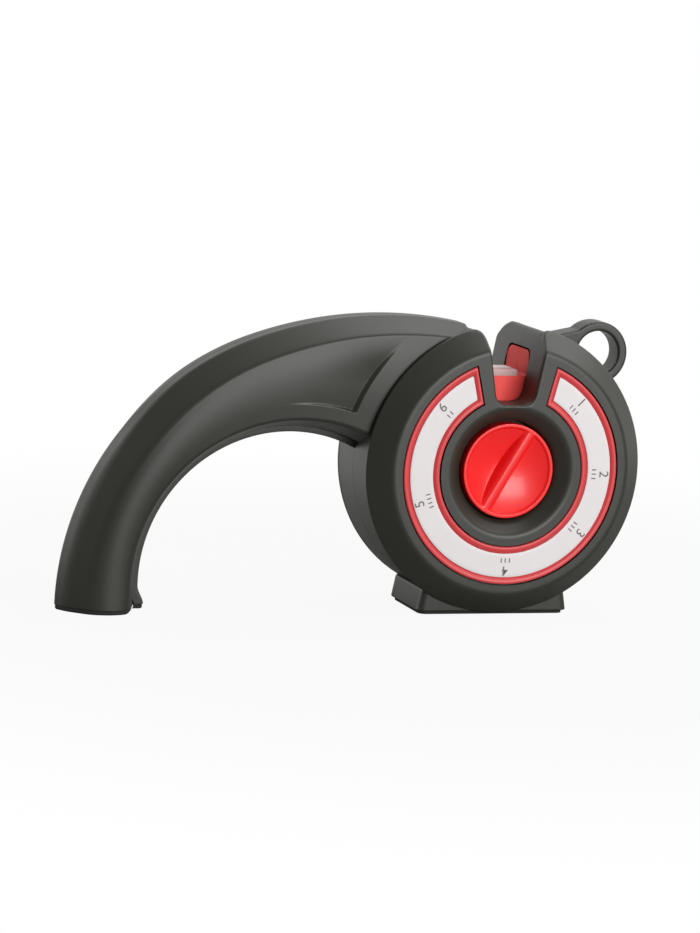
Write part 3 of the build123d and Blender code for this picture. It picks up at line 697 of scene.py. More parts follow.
def carried_over():
    """Gives each CAD node that still shows the finish of its record slot."""
    slots = {row["node"]: row["material_slot"] for row in frame["record"]["subparts"]}
    for node, made in frame["nodes"].items():
        if not made.hide_render:
            made.data.materials.clear()
            made.data.materials.append(finish_named(SLOT_FINISHES[slots[node]]))


# Knife slot and caps


def slot_side(drum, up):
    """Half width of the slot at a height above the drum axis."""
    slope = (drum.slot_face_half - drum.slot_floor_half) / (drum.face_radius - drum.slot_floor)
    return drum.slot_floor_half + slope * (up - drum.slot_floor)


def slot_rim_corner(drum, radius):
    """Point where the slot's side meets a circle round the drum axis, by repeated halving of the height."""
    low, high = drum.slot_floor, radius
    for _ in range(50):
        middle = (low + high) / 2
        inside = math.hypot(slot_side(drum, middle), middle) < radius
        low, high = (middle, high) if inside else (low, middle)
    return np.array([slot_side(drum, low), low])


def slot_half_path(drum, radius, corner_cut):
    """Right half of the slot's outline, from the middle of its floor round its rounded corner onto a circle.

    Floor and side are a broken line with a rounded corner, with a point at the top of the turret's window.
    The corner at the circle is bridged by (1-t)^2 a + 2t(1-t) corner + t^2 b.
    """
    corner = slot_rim_corner(drum, radius)
    landing = radius * compass(math.atan2(*corner) + corner_cut / radius)
    floor_end = np.array([drum.slot_floor_half, drum.slot_floor])
    whole = rounded_line([floor_end * (-1, 1), floor_end, corner], [drum.slot_floor_cut], [16, 24], 16)
    line = np.concatenate([[(0.0, drum.slot_floor)], whole[whole[:, 0] > MM * 0.3]])
    window = slot_rim_corner(drum, drum.window_radius)
    line = np.insert(line, np.searchsorted(line[:, 1], window[1]), window, axis=0)
    back = line[-2] - line[-1]
    leaving = corner + back / np.linalg.norm(back) * np.linalg.norm(landing - corner)
    t = np.linspace(0, 1, 13)[:, None]
    turn_over = leaving * (1 - t) ** 2 + corner * 2 * t * (1 - t) + landing * t**2
    return np.concatenate([line[line[:, 1] < leaving[1] - MM * 0.1], turn_over])


def cap_profile(drum, rim, floor):
    """Rounded section of a cap, as radius and depth, from its seat over cone and dish to the floor."""
    corners = [
        (drum.band_radius - MM * 1.5, drum.cap_seat),
        (rim, drum.cap_seat),
        (rim, drum.rim_front),
        (drum.face_radius, drum.half_depth),
        (drum.dish_radius, drum.half_depth),
        (drum.well_radius, drum.half_depth - drum.dish_depth),
        (drum.well_radius, floor),
        (drum.bush_radius, floor),
    ]
    return rounded_line(corners, MM * np.array([0.25, 0.45, 1.3, 1.5, 0.9, 0.5]), [3, 3, 14, 20, 8, 4, 6])


def cap_rows(profile, widest, radii):
    """Rows of a cap: way past its rim along the section, radius and depth, also at the given radii."""
    along = np.concatenate([[0], np.cumsum(np.linalg.norm(np.diff(profile, axis=0), axis=1))])
    more = np.interp(-radii, -profile[widest:, 0], along[widest:])
    rows = np.unique(np.round(np.concatenate([along, more]), 9))
    radius, depth = (np.interp(rows, along, profile[:, k]) for k in (0, 1))
    return rows - along[widest], radius, depth


def cap_columns(dial, radius, slot_angle):
    """Angles of a cap's columns, row by row: from the slot's side to the tray's mouth, and on round the tray.

    They stand close along the slot's rounded edge, and the last one before the mouth lies just short of it.
    """
    radius, slot_angle = radius[:, None], slot_angle[:, None]
    low, high = dial.inner - dial.gap, dial.outer + dial.gap
    within = np.clip(radius, low, high)
    mouth = np.arcsin((dial.mouth_half - dial.gap + dial.mouth_flare * (within - low)) / within)
    close = MM * np.array([0.0, 0.1, 0.22, 0.36, 0.55, 0.8, 1.2])
    start = slot_angle + np.minimum(close / radius, (mouth - slot_angle) * 0.8)
    finish = mouth - SEAT_STEP / radius
    rest = start[:, -1:] + (finish - start[:, -1:]) * np.linspace(0, 1, 7)[1:]
    around = mouth + (FULL_TURN - 2 * mouth) * np.linspace(0, 1, 261)
    return np.concatenate([start, rest], axis=1), around


def cap_skin(drum, dial, side):
    """Bevelled cap as a polar sheet, with the tray's seat in the front one.

    Rows follow the rounded section and columns the angle from one side of the slot round to the other.
    Within the slot's rounding the depth falls by R - sqrt(R^2 - (R-d)^2), d being the distance to the
    slot's outline. Between the tray's radii and beyond its mouth the depth falls by the tray's depth.
    """
    front = side == FRONT
    rim = drum.rim_radius if front else drum.band_radius + MM * 0.1
    profile = cap_profile(drum, rim, drum.well_floor if front else drum.rear_floor)
    widest = np.argmax(profile[:, 0] > rim - MM * 0.01)
    path = slot_half_path(drum, rim, drum.slot_corner_cut)
    path_radius = np.maximum.accumulate(np.hypot(path[:, 0], path[:, 1]))
    path_angle = np.arctan2(path[:, 0], path[:, 1])
    low, high = dial.inner - dial.gap, dial.outer + dial.gap
    radii = np.concatenate([
        path_radius[path_radius < rim - MM * 0.02],
        drum.slot_floor - MM * np.array([0.0, 0.15, 0.3, 0.5, 0.8]),
        [low, low - SEAT_STEP, high, high + SEAT_STEP],
    ])
    past_rim, radius, depth = cap_rows(profile, widest, radii)
    mouth, around = cap_columns(dial, radius, np.interp(radius, path_radius, path_angle, left=0.0))
    angle = np.concatenate([mouth, around, FULL_TURN - mouth[:, ::-1]], axis=1)
    lead = mouth.shape[1]

    forward = np.repeat(depth[:, None], angle.shape[1], axis=1)
    if front:
        seated = (radius > low - SEAT_STEP / 2) & (radius < high + SEAT_STEP / 2)
        forward[seated, lead:-lead] -= dial.depth
    gap = line_distance(radius[:, None, None] * compass(mouth), np.concatenate([path[::-1] * (-1, 1), path]))
    lack = np.clip(drum.slot_edge - gap, 0, drum.slot_edge)
    drop = drum.slot_edge - np.sqrt(drum.slot_edge**2 - lack**2)
    drop = np.minimum(drop, np.maximum(depth - drum.cap_seat, 0)[:, None])
    drop[past_rim < MM * 0.2] = 0
    forward[:, :lead] -= drop
    forward[:, -lead:] -= drop[:, ::-1]

    skin = Skin()
    behind = drum_points((drum.face_radius + drum.dish_radius) / 2, angle, drum.cap_seat - MM * 6, drum, side)
    skin.grid(drum_points(radius[:, None], angle, forward, drum, side), behind)
    walled = (radius >= drum.slot_floor - MM * 0.001) & (past_rim >= 0)
    sink = np.linspace(0, 1, 8)
    for column, outward in ((0, 1), (-1, -1)):
        top = forward[walled, column][:, None]
        down = top + (drum.cap_seat - top) * sink
        wall = drum_points(radius[walled][:, None], angle[walled, column][:, None], down, drum, side)
        skin.grid(wall, wall + MM * np.array([outward, 0, -0.5]))
    return skin


# Dial


def dial_outline(dial, inset):
    """Closed C outline drawn in by an inset, with rounded ends, as points across and up from the drum axis.

    The ends lie on lines that run outwards from the mouth; each corner is cut back and bridged by a curve.
    """
    inner, outer = dial.inner + inset, dial.outer - inset
    mouth = dial.mouth_half + inset
    low = math.asin(mouth / inner)
    high = math.asin((mouth + dial.mouth_flare * (outer - inner)) / outer)
    cut = MM

    def arc(radius, bearing):
        start = bearing + cut / radius
        return radius * compass(start + (FULL_TURN - 2 * start) * np.linspace(0, 1, 150))

    outer_arc, inner_arc = arc(outer, high), arc(inner, low)[::-1]
    end = [outer_arc[-1], outer * compass(-high), inner * compass(-low), inner_arc[0]]
    left = rounded_line(end, [cut * 0.98, cut * 0.98], [1, 7, 1])
    right = left[::-1] * (-1, 1)
    half = len(left) // 2
    return np.concatenate([right[half:], outer_arc[1:-1], left, inner_arc[1:-1], right[:half]])


def tray_skin(drum, dial):
    """Red tray: the rim's rounded section carried round the C outline."""
    front, back = drum.half_depth, drum.half_depth - dial.depth
    floor = back + dial.floor
    slope = [(dial.rim * 0.55, front), (dial.rim, floor + MM * 0.15), (dial.rim, floor)]
    section = rounded_line([(0, back), (0, front), *slope], [MM * 0.7, MM * 0.6, MM * 0.07], [2, 3, 3, 1])
    loops = np.stack([outline_points(dial_outline(dial, inset), forward, drum) for inset, forward in section])
    centre = outline_points(dial_outline(dial, dial.rim / 2), back, drum)
    return Skin().grid(loops, centre, wrap=True)


def plate_skin(drum, dial):
    """Scale plate: the C outline with a small rounded edge, closed by lines from arc to arc."""
    inset = dial.rim + MM * 0.05
    back = drum.half_depth - dial.depth + dial.floor
    front = back + dial.plate
    section = [(0.0, back), (0.0, front - MM * 0.12), (MM * 0.04, front - MM * 0.04), (MM * 0.12, front)]
    loops = np.stack([outline_points(dial_outline(dial, inset + i), f, drum) for i, f in section])
    skin = Skin().grid(loops, outline_points(dial_outline(dial, dial.rim + MM * 2), back, drum), wrap=True)
    outside, inside = np.split(loops[-1], 2)
    across = np.linspace(0, 1, 9)[:, None, None]
    face = outside * (1 - across) + inside[::-1] * across
    return skin.grid(face, face + np.array([0, MM, 0]))


def dial_turn(drum, angle, radius, forward):
    """Placement on the dial with its own Y running outwards, at an angle clockwise from the top."""
    place = Matrix.Translation(drum_points(radius, angle, forward, drum))
    return place @ Matrix.Rotation(angle, 4, "Y") @ Matrix.Rotation(math.pi / 2, 4, "X")


def number_mesh(text, height):
    """Flat mesh of a number, centred on its own origin."""
    digit_share = 0.7
    curve = bpy.data.curves.new("number", "FONT")
    curve.body = text
    curve.size = height / digit_share
    curve.align_x, curve.align_y = "CENTER", "CENTER"
    curve.extrude = MM * 0.02
    curve.offset = height * 0.006
    holder = linked("number", curve)
    bpy.context.view_layer.update()
    evaluated = holder.evaluated_get(bpy.context.evaluated_depsgraph_get())
    mesh = bpy.data.meshes.new_from_object(evaluated)
    bpy.data.objects.remove(holder)
    bpy.data.curves.remove(curve)
    return mesh


def dial_print(name, drum, dial):
    """Numbers of the stations with a row of short marks below each, printed on the plate."""
    print_front = drum.half_depth - dial.depth + dial.floor + dial.plate + PRINT_LIFT
    work = bmesh.new()
    for number, (bearing, marks) in enumerate(STATION_MARKS, start=1):
        angle = math.radians(bearing)
        mesh = number_mesh(str(number), dial.number_height)
        mesh.transform(dial_turn(drum, angle, dial.number_radius, print_front))
        work.from_mesh(mesh)
        bpy.data.meshes.remove(mesh)
        for step in range(marks):
            lean = angle + (step - (marks - 1) / 2) * MARK_PITCH / dial.mark_radius
            place = dial_turn(drum, lean, dial.mark_radius, print_front)
            bmesh.ops.create_cube(work, size=1.0, matrix=place @ Matrix.Diagonal((*MARK_SIZE, 1.0)))
    mesh = bpy.data.meshes.new(name)
    work.to_mesh(mesh)
    work.free()
    return linked(name, mesh)


# Knob


def knob_skin(drum, knob):
    """Round knob with a ridge between two finger scoops.

    Depth below the front is the smaller of the bowl e + (d - e)(1 - (r/R)^2) and the ridge, which falls with
    the cube of the way from its crest. Where they meet the two are blended by min - h^2 w / 4, with
    h = max(w - |a - b|, 0) / w. Towards the lip the depth fades to nothing.
    """
    inner = knob.radius - knob.lip
    bowl_radius = np.linspace(0, inner - MM * 1.2, 100)
    radius = np.concatenate([bowl_radius, np.linspace(inner - MM * 1.1, inner + MM * 0.5, 20)])[:, None]
    angle = np.linspace(0, FULL_TURN, 421)[:-1]
    across = np.abs(radius * np.sin(angle - knob.bar_turn))
    bowl = knob.scoop_edge + (knob.scoop - knob.scoop_edge) * (1 - np.minimum(radius / inner, 1) ** 2)
    ridge = knob.scoop * (across / knob.bar_foot) ** 3
    blend = MM * 0.6
    close = np.maximum(blend - np.abs(bowl - ridge), 0) / blend
    depth = np.minimum(bowl, ridge) - close**2 * blend / 4
    depth = np.maximum(depth, 0) * (1 - smooth_step(radius, inner - MM * 0.55, inner + MM * 0.3))
    centre = np.array([0, -knob.back, drum.axis_height])
    skin = Skin().grid(drum_points(radius, angle, knob.front - depth, drum), centre, wrap=True)
    corners = [
        (radius[-1, 0], knob.front),
        (knob.radius, knob.front),
        (knob.radius, knob.back),
        (knob.radius / 2, knob.back),
    ]
    edge = rounded_line(corners, [MM * 0.75, MM * 0.3], [2, 6, 2], 8)
    return skin.grid(drum_points(edge[:, :1], angle, edge[:, 1:], drum), centre, wrap=True)


# Turret


def inset_line(line, amount):
    """Closed line moved to its left by an amount, by turning its run a quarter."""
    run = np.roll(line, -1, axis=0) - np.roll(line, 1, axis=0)
    run = run / np.linalg.norm(run, axis=1, keepdims=True)
    return line + np.stack([-run[:, 1], run[:, 0]], axis=-1) * amount


def turret_outline(turret):
    """Star of lobes as stations x points, anticlockwise: one lobe from notch to notch, repeated.

    Half a lobe runs from the middle of a notch's floor up its flank and along the rim. The rest mirrors it.
    """
    pitch = FULL_TURN / turret.stations
    floor = turret.notch_floor
    mouth = np.array([turret.mouth_half, math.sqrt(turret.radius**2 - turret.mouth_half**2)])
    cut = MM
    rim = turret.radius * compass(np.linspace(math.atan2(*mouth) + cut / turret.radius, pitch / 2, 14))
    corners = [(0.0, floor), (turret.notch_half, floor), mouth, rim[0]]
    flank = rounded_line(corners, [cut * 1.2, cut * 0.95], [5, 10, 1], 8)
    half = np.concatenate([flank[:-1], rim])
    radius, bearing = np.hypot(half[:, 0], half[:, 1]), np.arctan2(half[:, 0], half[:, 1])
    radius = np.concatenate([radius, radius[-2:0:-1]])
    bearing = np.concatenate([bearing, pitch - bearing[-2:0:-1]])
    return radius[:, None] * compass(-bearing - pitch * np.arange(turret.stations)[:, None])


def turret_skin(drum, turret, side):
    """Half of the wheel: the star carried out from the mid plane, with its rim rounded and a flat side.

    At a depth d into the rounding R, the radius is held below rim - R + sqrt(R^2 - d^2). The side is filled
    lobe by lobe with lines between mirrored points, and the hub with lines to the axis.
    """
    star = turret_outline(turret)
    outline = star.reshape(-1, 2)
    width, edge, rim_round = turret.half_width, turret.notch_edge, turret.rim_round
    bend = rim_round * np.sin(np.linspace(0, math.pi / 2, 12))
    forward = np.concatenate([[0.0, MM * 0.12, MM * 0.3, width / 2], width - rim_round + bend])
    into_rim = np.clip(forward - width + rim_round, 0, rim_round)
    limit = turret.radius - rim_round + np.sqrt(rim_round**2 - into_rim**2)
    into_edge = np.clip(forward - width + edge, 0, edge)
    inset = edge - np.sqrt(edge**2 - into_edge**2)
    inset[0] = MM * 0.05
    lines = np.stack([inset_line(outline, amount) for amount in inset])
    lines = lines * np.minimum(1, limit[:, None, None] / np.linalg.norm(lines, axis=-1, keepdims=True))
    skin = Skin()
    loops = outline_points(lines, forward[:, None], drum, side)
    skin.grid(loops, outline_points(outline * 0.6, 0.0, drum, side), wrap=True)
    closed = lines[-1].reshape(star.shape)
    closed = np.concatenate([closed, np.roll(closed, -1, axis=0)[:, :1]], axis=1)
    half = closed.shape[1] // 2 + 1
    across = np.linspace(0, 1, 7)[:, None]
    inside = np.array([0, 0, drum.axis_height])
    for lobe in closed:
        fill = lobe[:half, None] * (1 - across) + lobe[::-1][:half, None] * across
        hub = fill[0] * np.array([1.0, 0.5, 0.0])[:, None, None]
        for sheet in (fill, hub):
            skin.grid(outline_points(sheet, width, drum, side), inside)
    return skin


def rounded_box(low, high, edge):
    """Box with rounded edges: points of a cube's faces pulled onto a smaller box and pushed out again."""
    low, high = np.asarray(low, float), np.asarray(high, float)
    ticks = np.concatenate([np.linspace(-1, -0.8, 7), np.linspace(-0.6, 0.6, 5), np.linspace(0.8, 1, 7)])
    first, second = np.meshgrid(ticks, ticks, indexing="ij")
    centre, half = (low + high) / 2, (high - low) / 2
    skin = Skin()
    for axis in range(3):
        for end in (-1, 1):
            face = np.stack([np.full_like(first, end), first, second], axis=-1)
            face = np.roll(face, axis, axis=-1) * half
            core = np.clip(face, edge - half, half - edge)
            away = face - core
            size = np.maximum(np.linalg.norm(away, axis=-1, keepdims=True), TINY)
            skin.grid(centre + core + away / size * edge, centre)
    return skin


# Body


def groove(forward, width, depth):
    """Depth of the parting groove at a distance from the mid plane."""
    return depth * np.clip(1 - forward / width, 0, 1)


def band_path(drum):
    """Closed outline of the drum's band with the knife slot, clockwise from the middle of its floor."""
    right = slot_half_path(drum, drum.band_radius, MM * 2.6)
    start = math.atan2(*right[-1])
    round_part = drum.band_radius * compass(np.linspace(start, FULL_TURN - start, 300)[1:-1])
    return np.concatenate([right, round_part, right[:0:-1] * (-1, 1)])


def window_reach(drum, radius):
    """Half width of the turret's window at a distance from the drum axis, its upper corners rounded."""
    rise = np.clip(radius - (drum.window_radius - drum.window_round), 0, drum.window_round)
    return drum.window_half - drum.window_round + np.sqrt(drum.window_round**2 - rise**2)


def band_skin(drum, side):
    """Half of the drum's band and of the slot's walls, open where the turret comes through.

    The outline is carried out from the mid plane to the cap's seat. Its rows bend to follow the window, so
    that the window's edge lies on a row, and a strip as wide as the wall lines the window.
    """
    path = band_path(drum)
    halfway = len(path) // 2
    inner = inset_line(path, -1.0) - path
    inner = inner if inner[halfway] @ path[halfway] < 0 else -inner
    radius = np.linalg.norm(path, axis=1)
    reach = window_reach(drum, radius)
    near = np.concatenate([[0.0, 0.012, 0.03, 0.06], np.linspace(0.1, 1, 10)])[:, None] * reach
    far = reach + (drum.cap_seat - reach) * np.linspace(0, 1, 6)[1:, None]
    tucked = np.full_like(reach, drum.cap_seat + MM * 0.6)[None]
    forward = np.concatenate([near, far, tucked])
    tuck = np.where(forward > drum.cap_seat + MM * 0.1, MM * 0.5, 0)
    sunk = path + inner * (groove(forward, width=MM * 0.3, depth=MM * 0.06) + tuck)[..., None]
    centre = outline_points(path + inner * drum.slot_wall, forward, drum, side)
    top = drum.window_radius + MM * 0.05
    open_column = np.maximum(radius, np.roll(radius, -1)) <= top
    open_row = np.arange(len(forward) - 1) < len(near) - 1
    skin = Skin()
    skin.grid(
        outline_points(sunk, forward, drum, side), centre, wrap=True, keep=~(open_row[:, None] & open_column))

    inside = np.flatnonzero(radius <= top)
    order = np.concatenate([inside[inside > halfway], inside[inside < halfway]])
    fall = np.linspace(1, 0, 8)[1:]
    ends = ((len(fall), len(fall)), (0, 0))
    edge = np.pad(path[order], ends, mode="edge")
    edge_inner = np.pad(inner[order], ends, mode="edge")
    first, last = reach[order[0]], reach[order[-1]]
    edge_reach = np.concatenate([first * fall[::-1], reach[order], last * fall])
    sink = np.linspace(0, 1, 5)[:, None, None] * drum.slot_wall
    lining = outline_points(edge + edge_inner * sink, edge_reach, drum, side)
    middle = outline_points(np.array([[0.0, drum.window_radius]]), 0.0, drum, side)
    return skin.grid(lining, 2 * lining - middle)


def clear_of_screws(points, places, radius, depth):
    """Which quads of a grid stay: all but those near a screw and past a depth in the rear half."""
    middle = (points[:-1, :-1] + points[1:, 1:]) / 2
    keep = np.ones(middle.shape[:2], bool)
    for across, up in places:
        near = np.hypot(middle[..., 0] - across, middle[..., 2] - up) < radius
        keep &= ~(near & (middle[..., 1] > depth))
    return keep


def block_skin(drum, side):
    """Half of the foot block: its rounded plan drawn in as it rises, with holes for screws in the rear."""
    height = drum.block_top - drum.block_low
    corners = [(MM * 6, 0.0), (0.0, 0.0), (0.0, height), (MM * 6, height)]
    inset, rise = rounded_line(corners, [MM * 0.5, MM * 0.9], [2, 44, 3]).T
    half = drum.block_half + (drum.block_top_half - drum.block_half) * rise / height - inset
    depth = drum.block_depth - inset
    flat = np.zeros_like(half)
    plan = np.array([(-half, flat), (-half, depth), (half, depth), (half, flat)]).transpose(2, 0, 1)
    line = rounded_line(plan, [MM * 3.6, MM * 3.6], [10, 260, 9], 10)
    points = placed(line[..., 0], line[..., 1], (drum.block_low + rise)[:, None], side)
    keep = clear_of_screws(points, BLOCK_SCREWS, BLOCK_COLLAR - MM * 0.3, drum.block_depth - MM)
    return Skin().grid(points, np.array([0, 0, (drum.block_low + drum.block_top) / 2]), keep=keep)


def handle_curves(handle, inner_radius, flare, t):
    """Outer edge, outer crease, inner crease and inner edge of the arch, from the foot to the drum.

    The outer edge is the back's arc followed by the crown's; the inner one a short stem and the grip's arc.
    All are stepped by the same shares of their length, and the creases lie a bevel's width inside them. The
    bevel's width runs straight from stage to stage and is smoothed by a moving mean.
    """
    back = np.array([handle.back_x, handle.back_z])
    grip = np.array([handle.grip_x, handle.grip_z])
    crown = back + (handle.back_radius - handle.crown_radius) * ray(handle.shoulder)
    heel = math.pi + math.asin((handle.back_z - handle.foot) / handle.back_radius)
    back_run = (heel - handle.shoulder) * handle.back_radius
    crown_run = (handle.shoulder - handle.crown_end) * handle.crown_radius
    along = t * (back_run + crown_run)
    on_back = along < back_run
    back_angle = heel - along / handle.back_radius
    crown_angle = handle.shoulder - (along - back_run) / handle.crown_radius
    facing = ray(np.where(on_back, back_angle, crown_angle))
    radius = np.where(on_back, handle.back_radius, handle.crown_radius)[:, None]
    outer = np.where(on_back[:, None], back, crown) + radius * facing
    stages = [0, back_run / 2, back_run, back_run + crown_run / 2, back_run + crown_run]
    even = np.linspace(0, stages[-1], 341)
    mean_half = 15
    mean = np.ones(2 * mean_half + 1) / (2 * mean_half + 1)
    bevel = np.pad(np.interp(even, stages, MM * np.array(HANDLE_BEVELS)), mean_half, mode="edge")
    bevel = np.interp(along, even, np.convolve(bevel, mean, mode="valid"))
    crease = outer - bevel[:, None] * facing
    stem = handle.grip_z - handle.foot
    inward = t * (stem + inner_radius * (math.pi - handle.grip_end))
    bearing = ray(math.pi - np.clip(inward - stem, 0, None) / inner_radius)
    inner = grip + inner_radius * bearing
    inner[:, 1] -= np.clip(stem - inward, 0, None)
    inner_crease = inner + handle.grip_bevel * bearing
    toe = 1 - smooth_step(inner[:, 1], handle.foot, handle.ankle)
    inner[:, 0] += flare * toe
    inner_crease[:, 0] += flare * toe
    return outer, crease, inner_crease, inner


def panel_sink(handle, drum, across, up):
    """Depth of the scooped panel.

    It is full in the lower corner and falls off with the square of the way along the panel's direction.
    Smooth steps close it towards the flange round the drum, the ledge over the grip and the panel's top.
    """
    axis = np.array([0.0, drum.axis_height])
    corner = axis + handle.panel_flange * ray(handle.panel_corner)
    away = (across - corner[0]) * math.cos(handle.panel_turn) + (up - corner[1]) * math.sin(handle.panel_turn)
    fall = np.clip(1 - away / handle.panel_run, 0, 1.1) ** 2
    from_drum = np.hypot(across - axis[0], up - axis[1])
    from_grip = np.hypot(across - handle.grip_x, up - handle.grip_z)
    open_drum = smooth_step(from_drum, handle.panel_flange, handle.panel_flange + handle.panel_wall)
    open_grip = smooth_step(from_grip, handle.panel_ledge, handle.panel_ledge + handle.panel_lip)
    bearing = np.arctan2(up - axis[1], across - axis[0])
    bearing = np.where(bearing < 0, bearing + FULL_TURN, bearing)
    open_top = smooth_step(bearing, handle.panel_top, handle.panel_full)
    return handle.panel_depth * fall * open_drum * open_grip * open_top


def screw_places(handle):
    """Case screws along the middle of the arch."""
    middle = np.array([handle.back_x + handle.grip_x, handle.back_z + handle.grip_z]) / 2
    radius = (handle.back_radius + handle.grip_radius) / 2
    along = ray(math.pi - np.array(HANDLE_SCREWS) * handle.shoulder)
    return middle + radius * along


def handle_depth(handle, across):
    """Half depth of the handle's side, which tapers towards the foot."""
    return handle.root_depth + handle.taper * across


def handle_sections(drum, handle, side):
    """Sections of half the arched handle, from the foot to the drum.

    Each is a broken line with rounded corners, from the parting line over the back's level strip, the bevel
    and the crowned side to the grip. The rear half stands proud inside the arch and closes with a narrow
    step. The scooped panel is then sunk into the side. Sections stand closer towards the drum.
    """
    rear = side == REAR
    inner_radius = handle.grip_radius + (0 if rear else handle.grip_step)
    along = np.interp(np.linspace(0, 1, 400), [0, 0.3, 1], [0, 0.6, 1])
    outer, crease, inner_crease, inner = handle_curves(
        handle, inner_radius, handle.toe_flare if rear else 0.0, along)
    flat = np.zeros(len(outer))
    low, heel = 1 - smooth_step(along, 0.12, 0.62), 1 - smooth_step(along, 0.2, 0.5)
    crown = handle.side_crown * (0.55 + 0.45 * low)
    inward = (crease - outer) / np.linalg.norm(crease - outer, axis=1, keepdims=True)
    into = (inner_crease - inner) / handle.grip_bevel
    first, second = (2 * crease + inner_crease) / 3, (crease + 2 * inner_crease) / 3
    groove_depth, groove_half = MM * 0.1, MM * 0.3
    crease_cut, side_cut = 1.2 + 1.2 * low, 20 + flat
    # Line, half depth and rounding in millimetres of each corner of the sections
    rows = [
        (outer + inward * groove_depth, flat, flat),
        (outer, flat + groove_half, 0.1 + 1.6 * heel),
        (outer + inward * handle.foot_fall * heel[:, None], flat + handle.back_half, 0.8 + 1.4 * heel),
        (crease, handle_depth(handle, crease[:, 0]) - crown, crease_cut),
        (first, handle_depth(handle, first[:, 0]), side_cut),
        (second, handle_depth(handle, second[:, 0]), side_cut),
        (inner_crease, handle_depth(handle, inner_crease[:, 0]) - crown, crease_cut),
        (inner, flat + (handle.crown_depth if rear else handle.grip_lip), 1.6 + flat),
        (inner, flat + (0 if rear else groove_half), 0.15 + flat),
        (inner + into * (handle.grip_step + MM if rear else groove_half), flat, flat),
    ]
    corners = np.stack([np.column_stack([line[:, 0], depth, line[:, 1]]) for line, depth, _ in rows], axis=1)
    cuts = [MM * cut for _, _, cut in rows[1:-1]]
    legs, steps = [2, 6, 6, 26, 3, 26, 5, 4, 2], [8, 10, 10, 50, 50, 10, 8, 3]
    points = rounded_line(corners, cuts, legs, steps)
    side_starts, side_ends = sum(legs[:3]) + sum(steps[:3]), sum(legs[:6]) + sum(steps[:5])
    from_crease = np.linalg.norm(points[..., ::2] - crease[:, None], axis=-1)
    opened = smooth_step(from_crease / np.linalg.norm(crease - inner_crease, axis=1)[:, None], 0.0, 0.55)
    opened[:, :side_starts] = 0
    opened[:, side_ends:] = 0
    points[..., 1] -= opened * panel_sink(handle, drum, points[..., 0], points[..., 2])
    return points


def handle_skin(drum, handle, side):
    """Half of the arched handle: its sections joined, with holes for screws in the rear half.

    Under the foot the first section closes onto its middle, with its edge rounded; at the drum the last
    section turns over and runs down inside.
    """
    points = handle_sections(drum, handle, side)
    holes = screw_places(handle) if side == REAR else ()
    keep = clear_of_screws(points, holes, HANDLE_COLLAR - MM * 0.6, handle.crown_depth)
    foot = points[:1].copy()
    centre = foot.mean(axis=1, keepdims=True) * (1, 0, 1)
    under = foot + (centre - foot) * np.array([1.0, 0.06, 0.02])[:, None, None]
    points[0, :, 2] += MM * 0.35
    under[2, :, 2] += MM * 0.12
    turn_over = MM * np.array([(0.35, 0, -0.15), (0.6, 0, -0.5), (0.7, 0, -1.2), (0.7, 0, -6.0)])
    tail = points[-1:] + turn_over[:, None]
    points = np.concatenate([under, points, tail])
    keep = np.pad(keep, ((len(under), len(tail)), (0, 0)), constant_values=True)
    spine = points.mean(axis=1, keepdims=True) * (1, 0, 1)
    mirror = np.array([1, side, 1])
    return Skin().grid(points * mirror, spine * mirror, keep=keep)


def pad_skin(skin, drum, handle, side):
    """Half of the rubber under the handle: the foot's section drawn in, with a rounded lower edge."""
    foot = handle_sections(drum, handle, side)[0]
    middle = np.array([(foot[0, 0] + foot[-1, 0]) / 2, 0.0])
    half = np.array([abs(foot[0, 0] - foot[-1, 0]) / 2, foot[:, 1].max()])
    section = MM * np.array([(0.5, 1.7), (0.3, 1.4), (0.3, 0.7), (0.42, 0.3), (0.7, 0.08), (1.1, 0.0)])
    plan = middle + (foot[:, :2] - middle) * (1 - section[:, None, :1] / half)
    rows = placed(plan[..., 0], plan[..., 1], section[:, 1:], side)
    skin.grid(np.concatenate([rows, rows[-1:] * (1, 0, 1)]), np.array([middle[0], 0.0, MM]))


def collar_skin(skin, place, reach, surface):
    """Screw pocket in the rear half: a collar just proud of the surface, a wall and a holed floor."""
    proud, hole = MM * 0.06, MM * 1.2
    corners = [(reach, -MM * 1.6), (reach - MM * 0.1, proud), (POCKET_RADIUS, proud), (POCKET_RADIUS, 0.0)]
    line = rounded_line(corners, [MM * 0.1, MM * 0.2], [2, 3, 2], 5)
    line[:, 1] += surface
    line = np.concatenate([line, [(POCKET_RADIUS, SCREW_SEAT), (hole, SCREW_SEAT)]])
    angle = np.linspace(0, FULL_TURN, 49)[:-1]
    inside = turned_points(place, POCKET_RADIUS + MM * 0.5, angle, surface - MM * 2)
    skin.grid(turned_points(place, line[:, :1], angle, line[:, 1:]), inside, wrap=True)


# Loop and fasteners


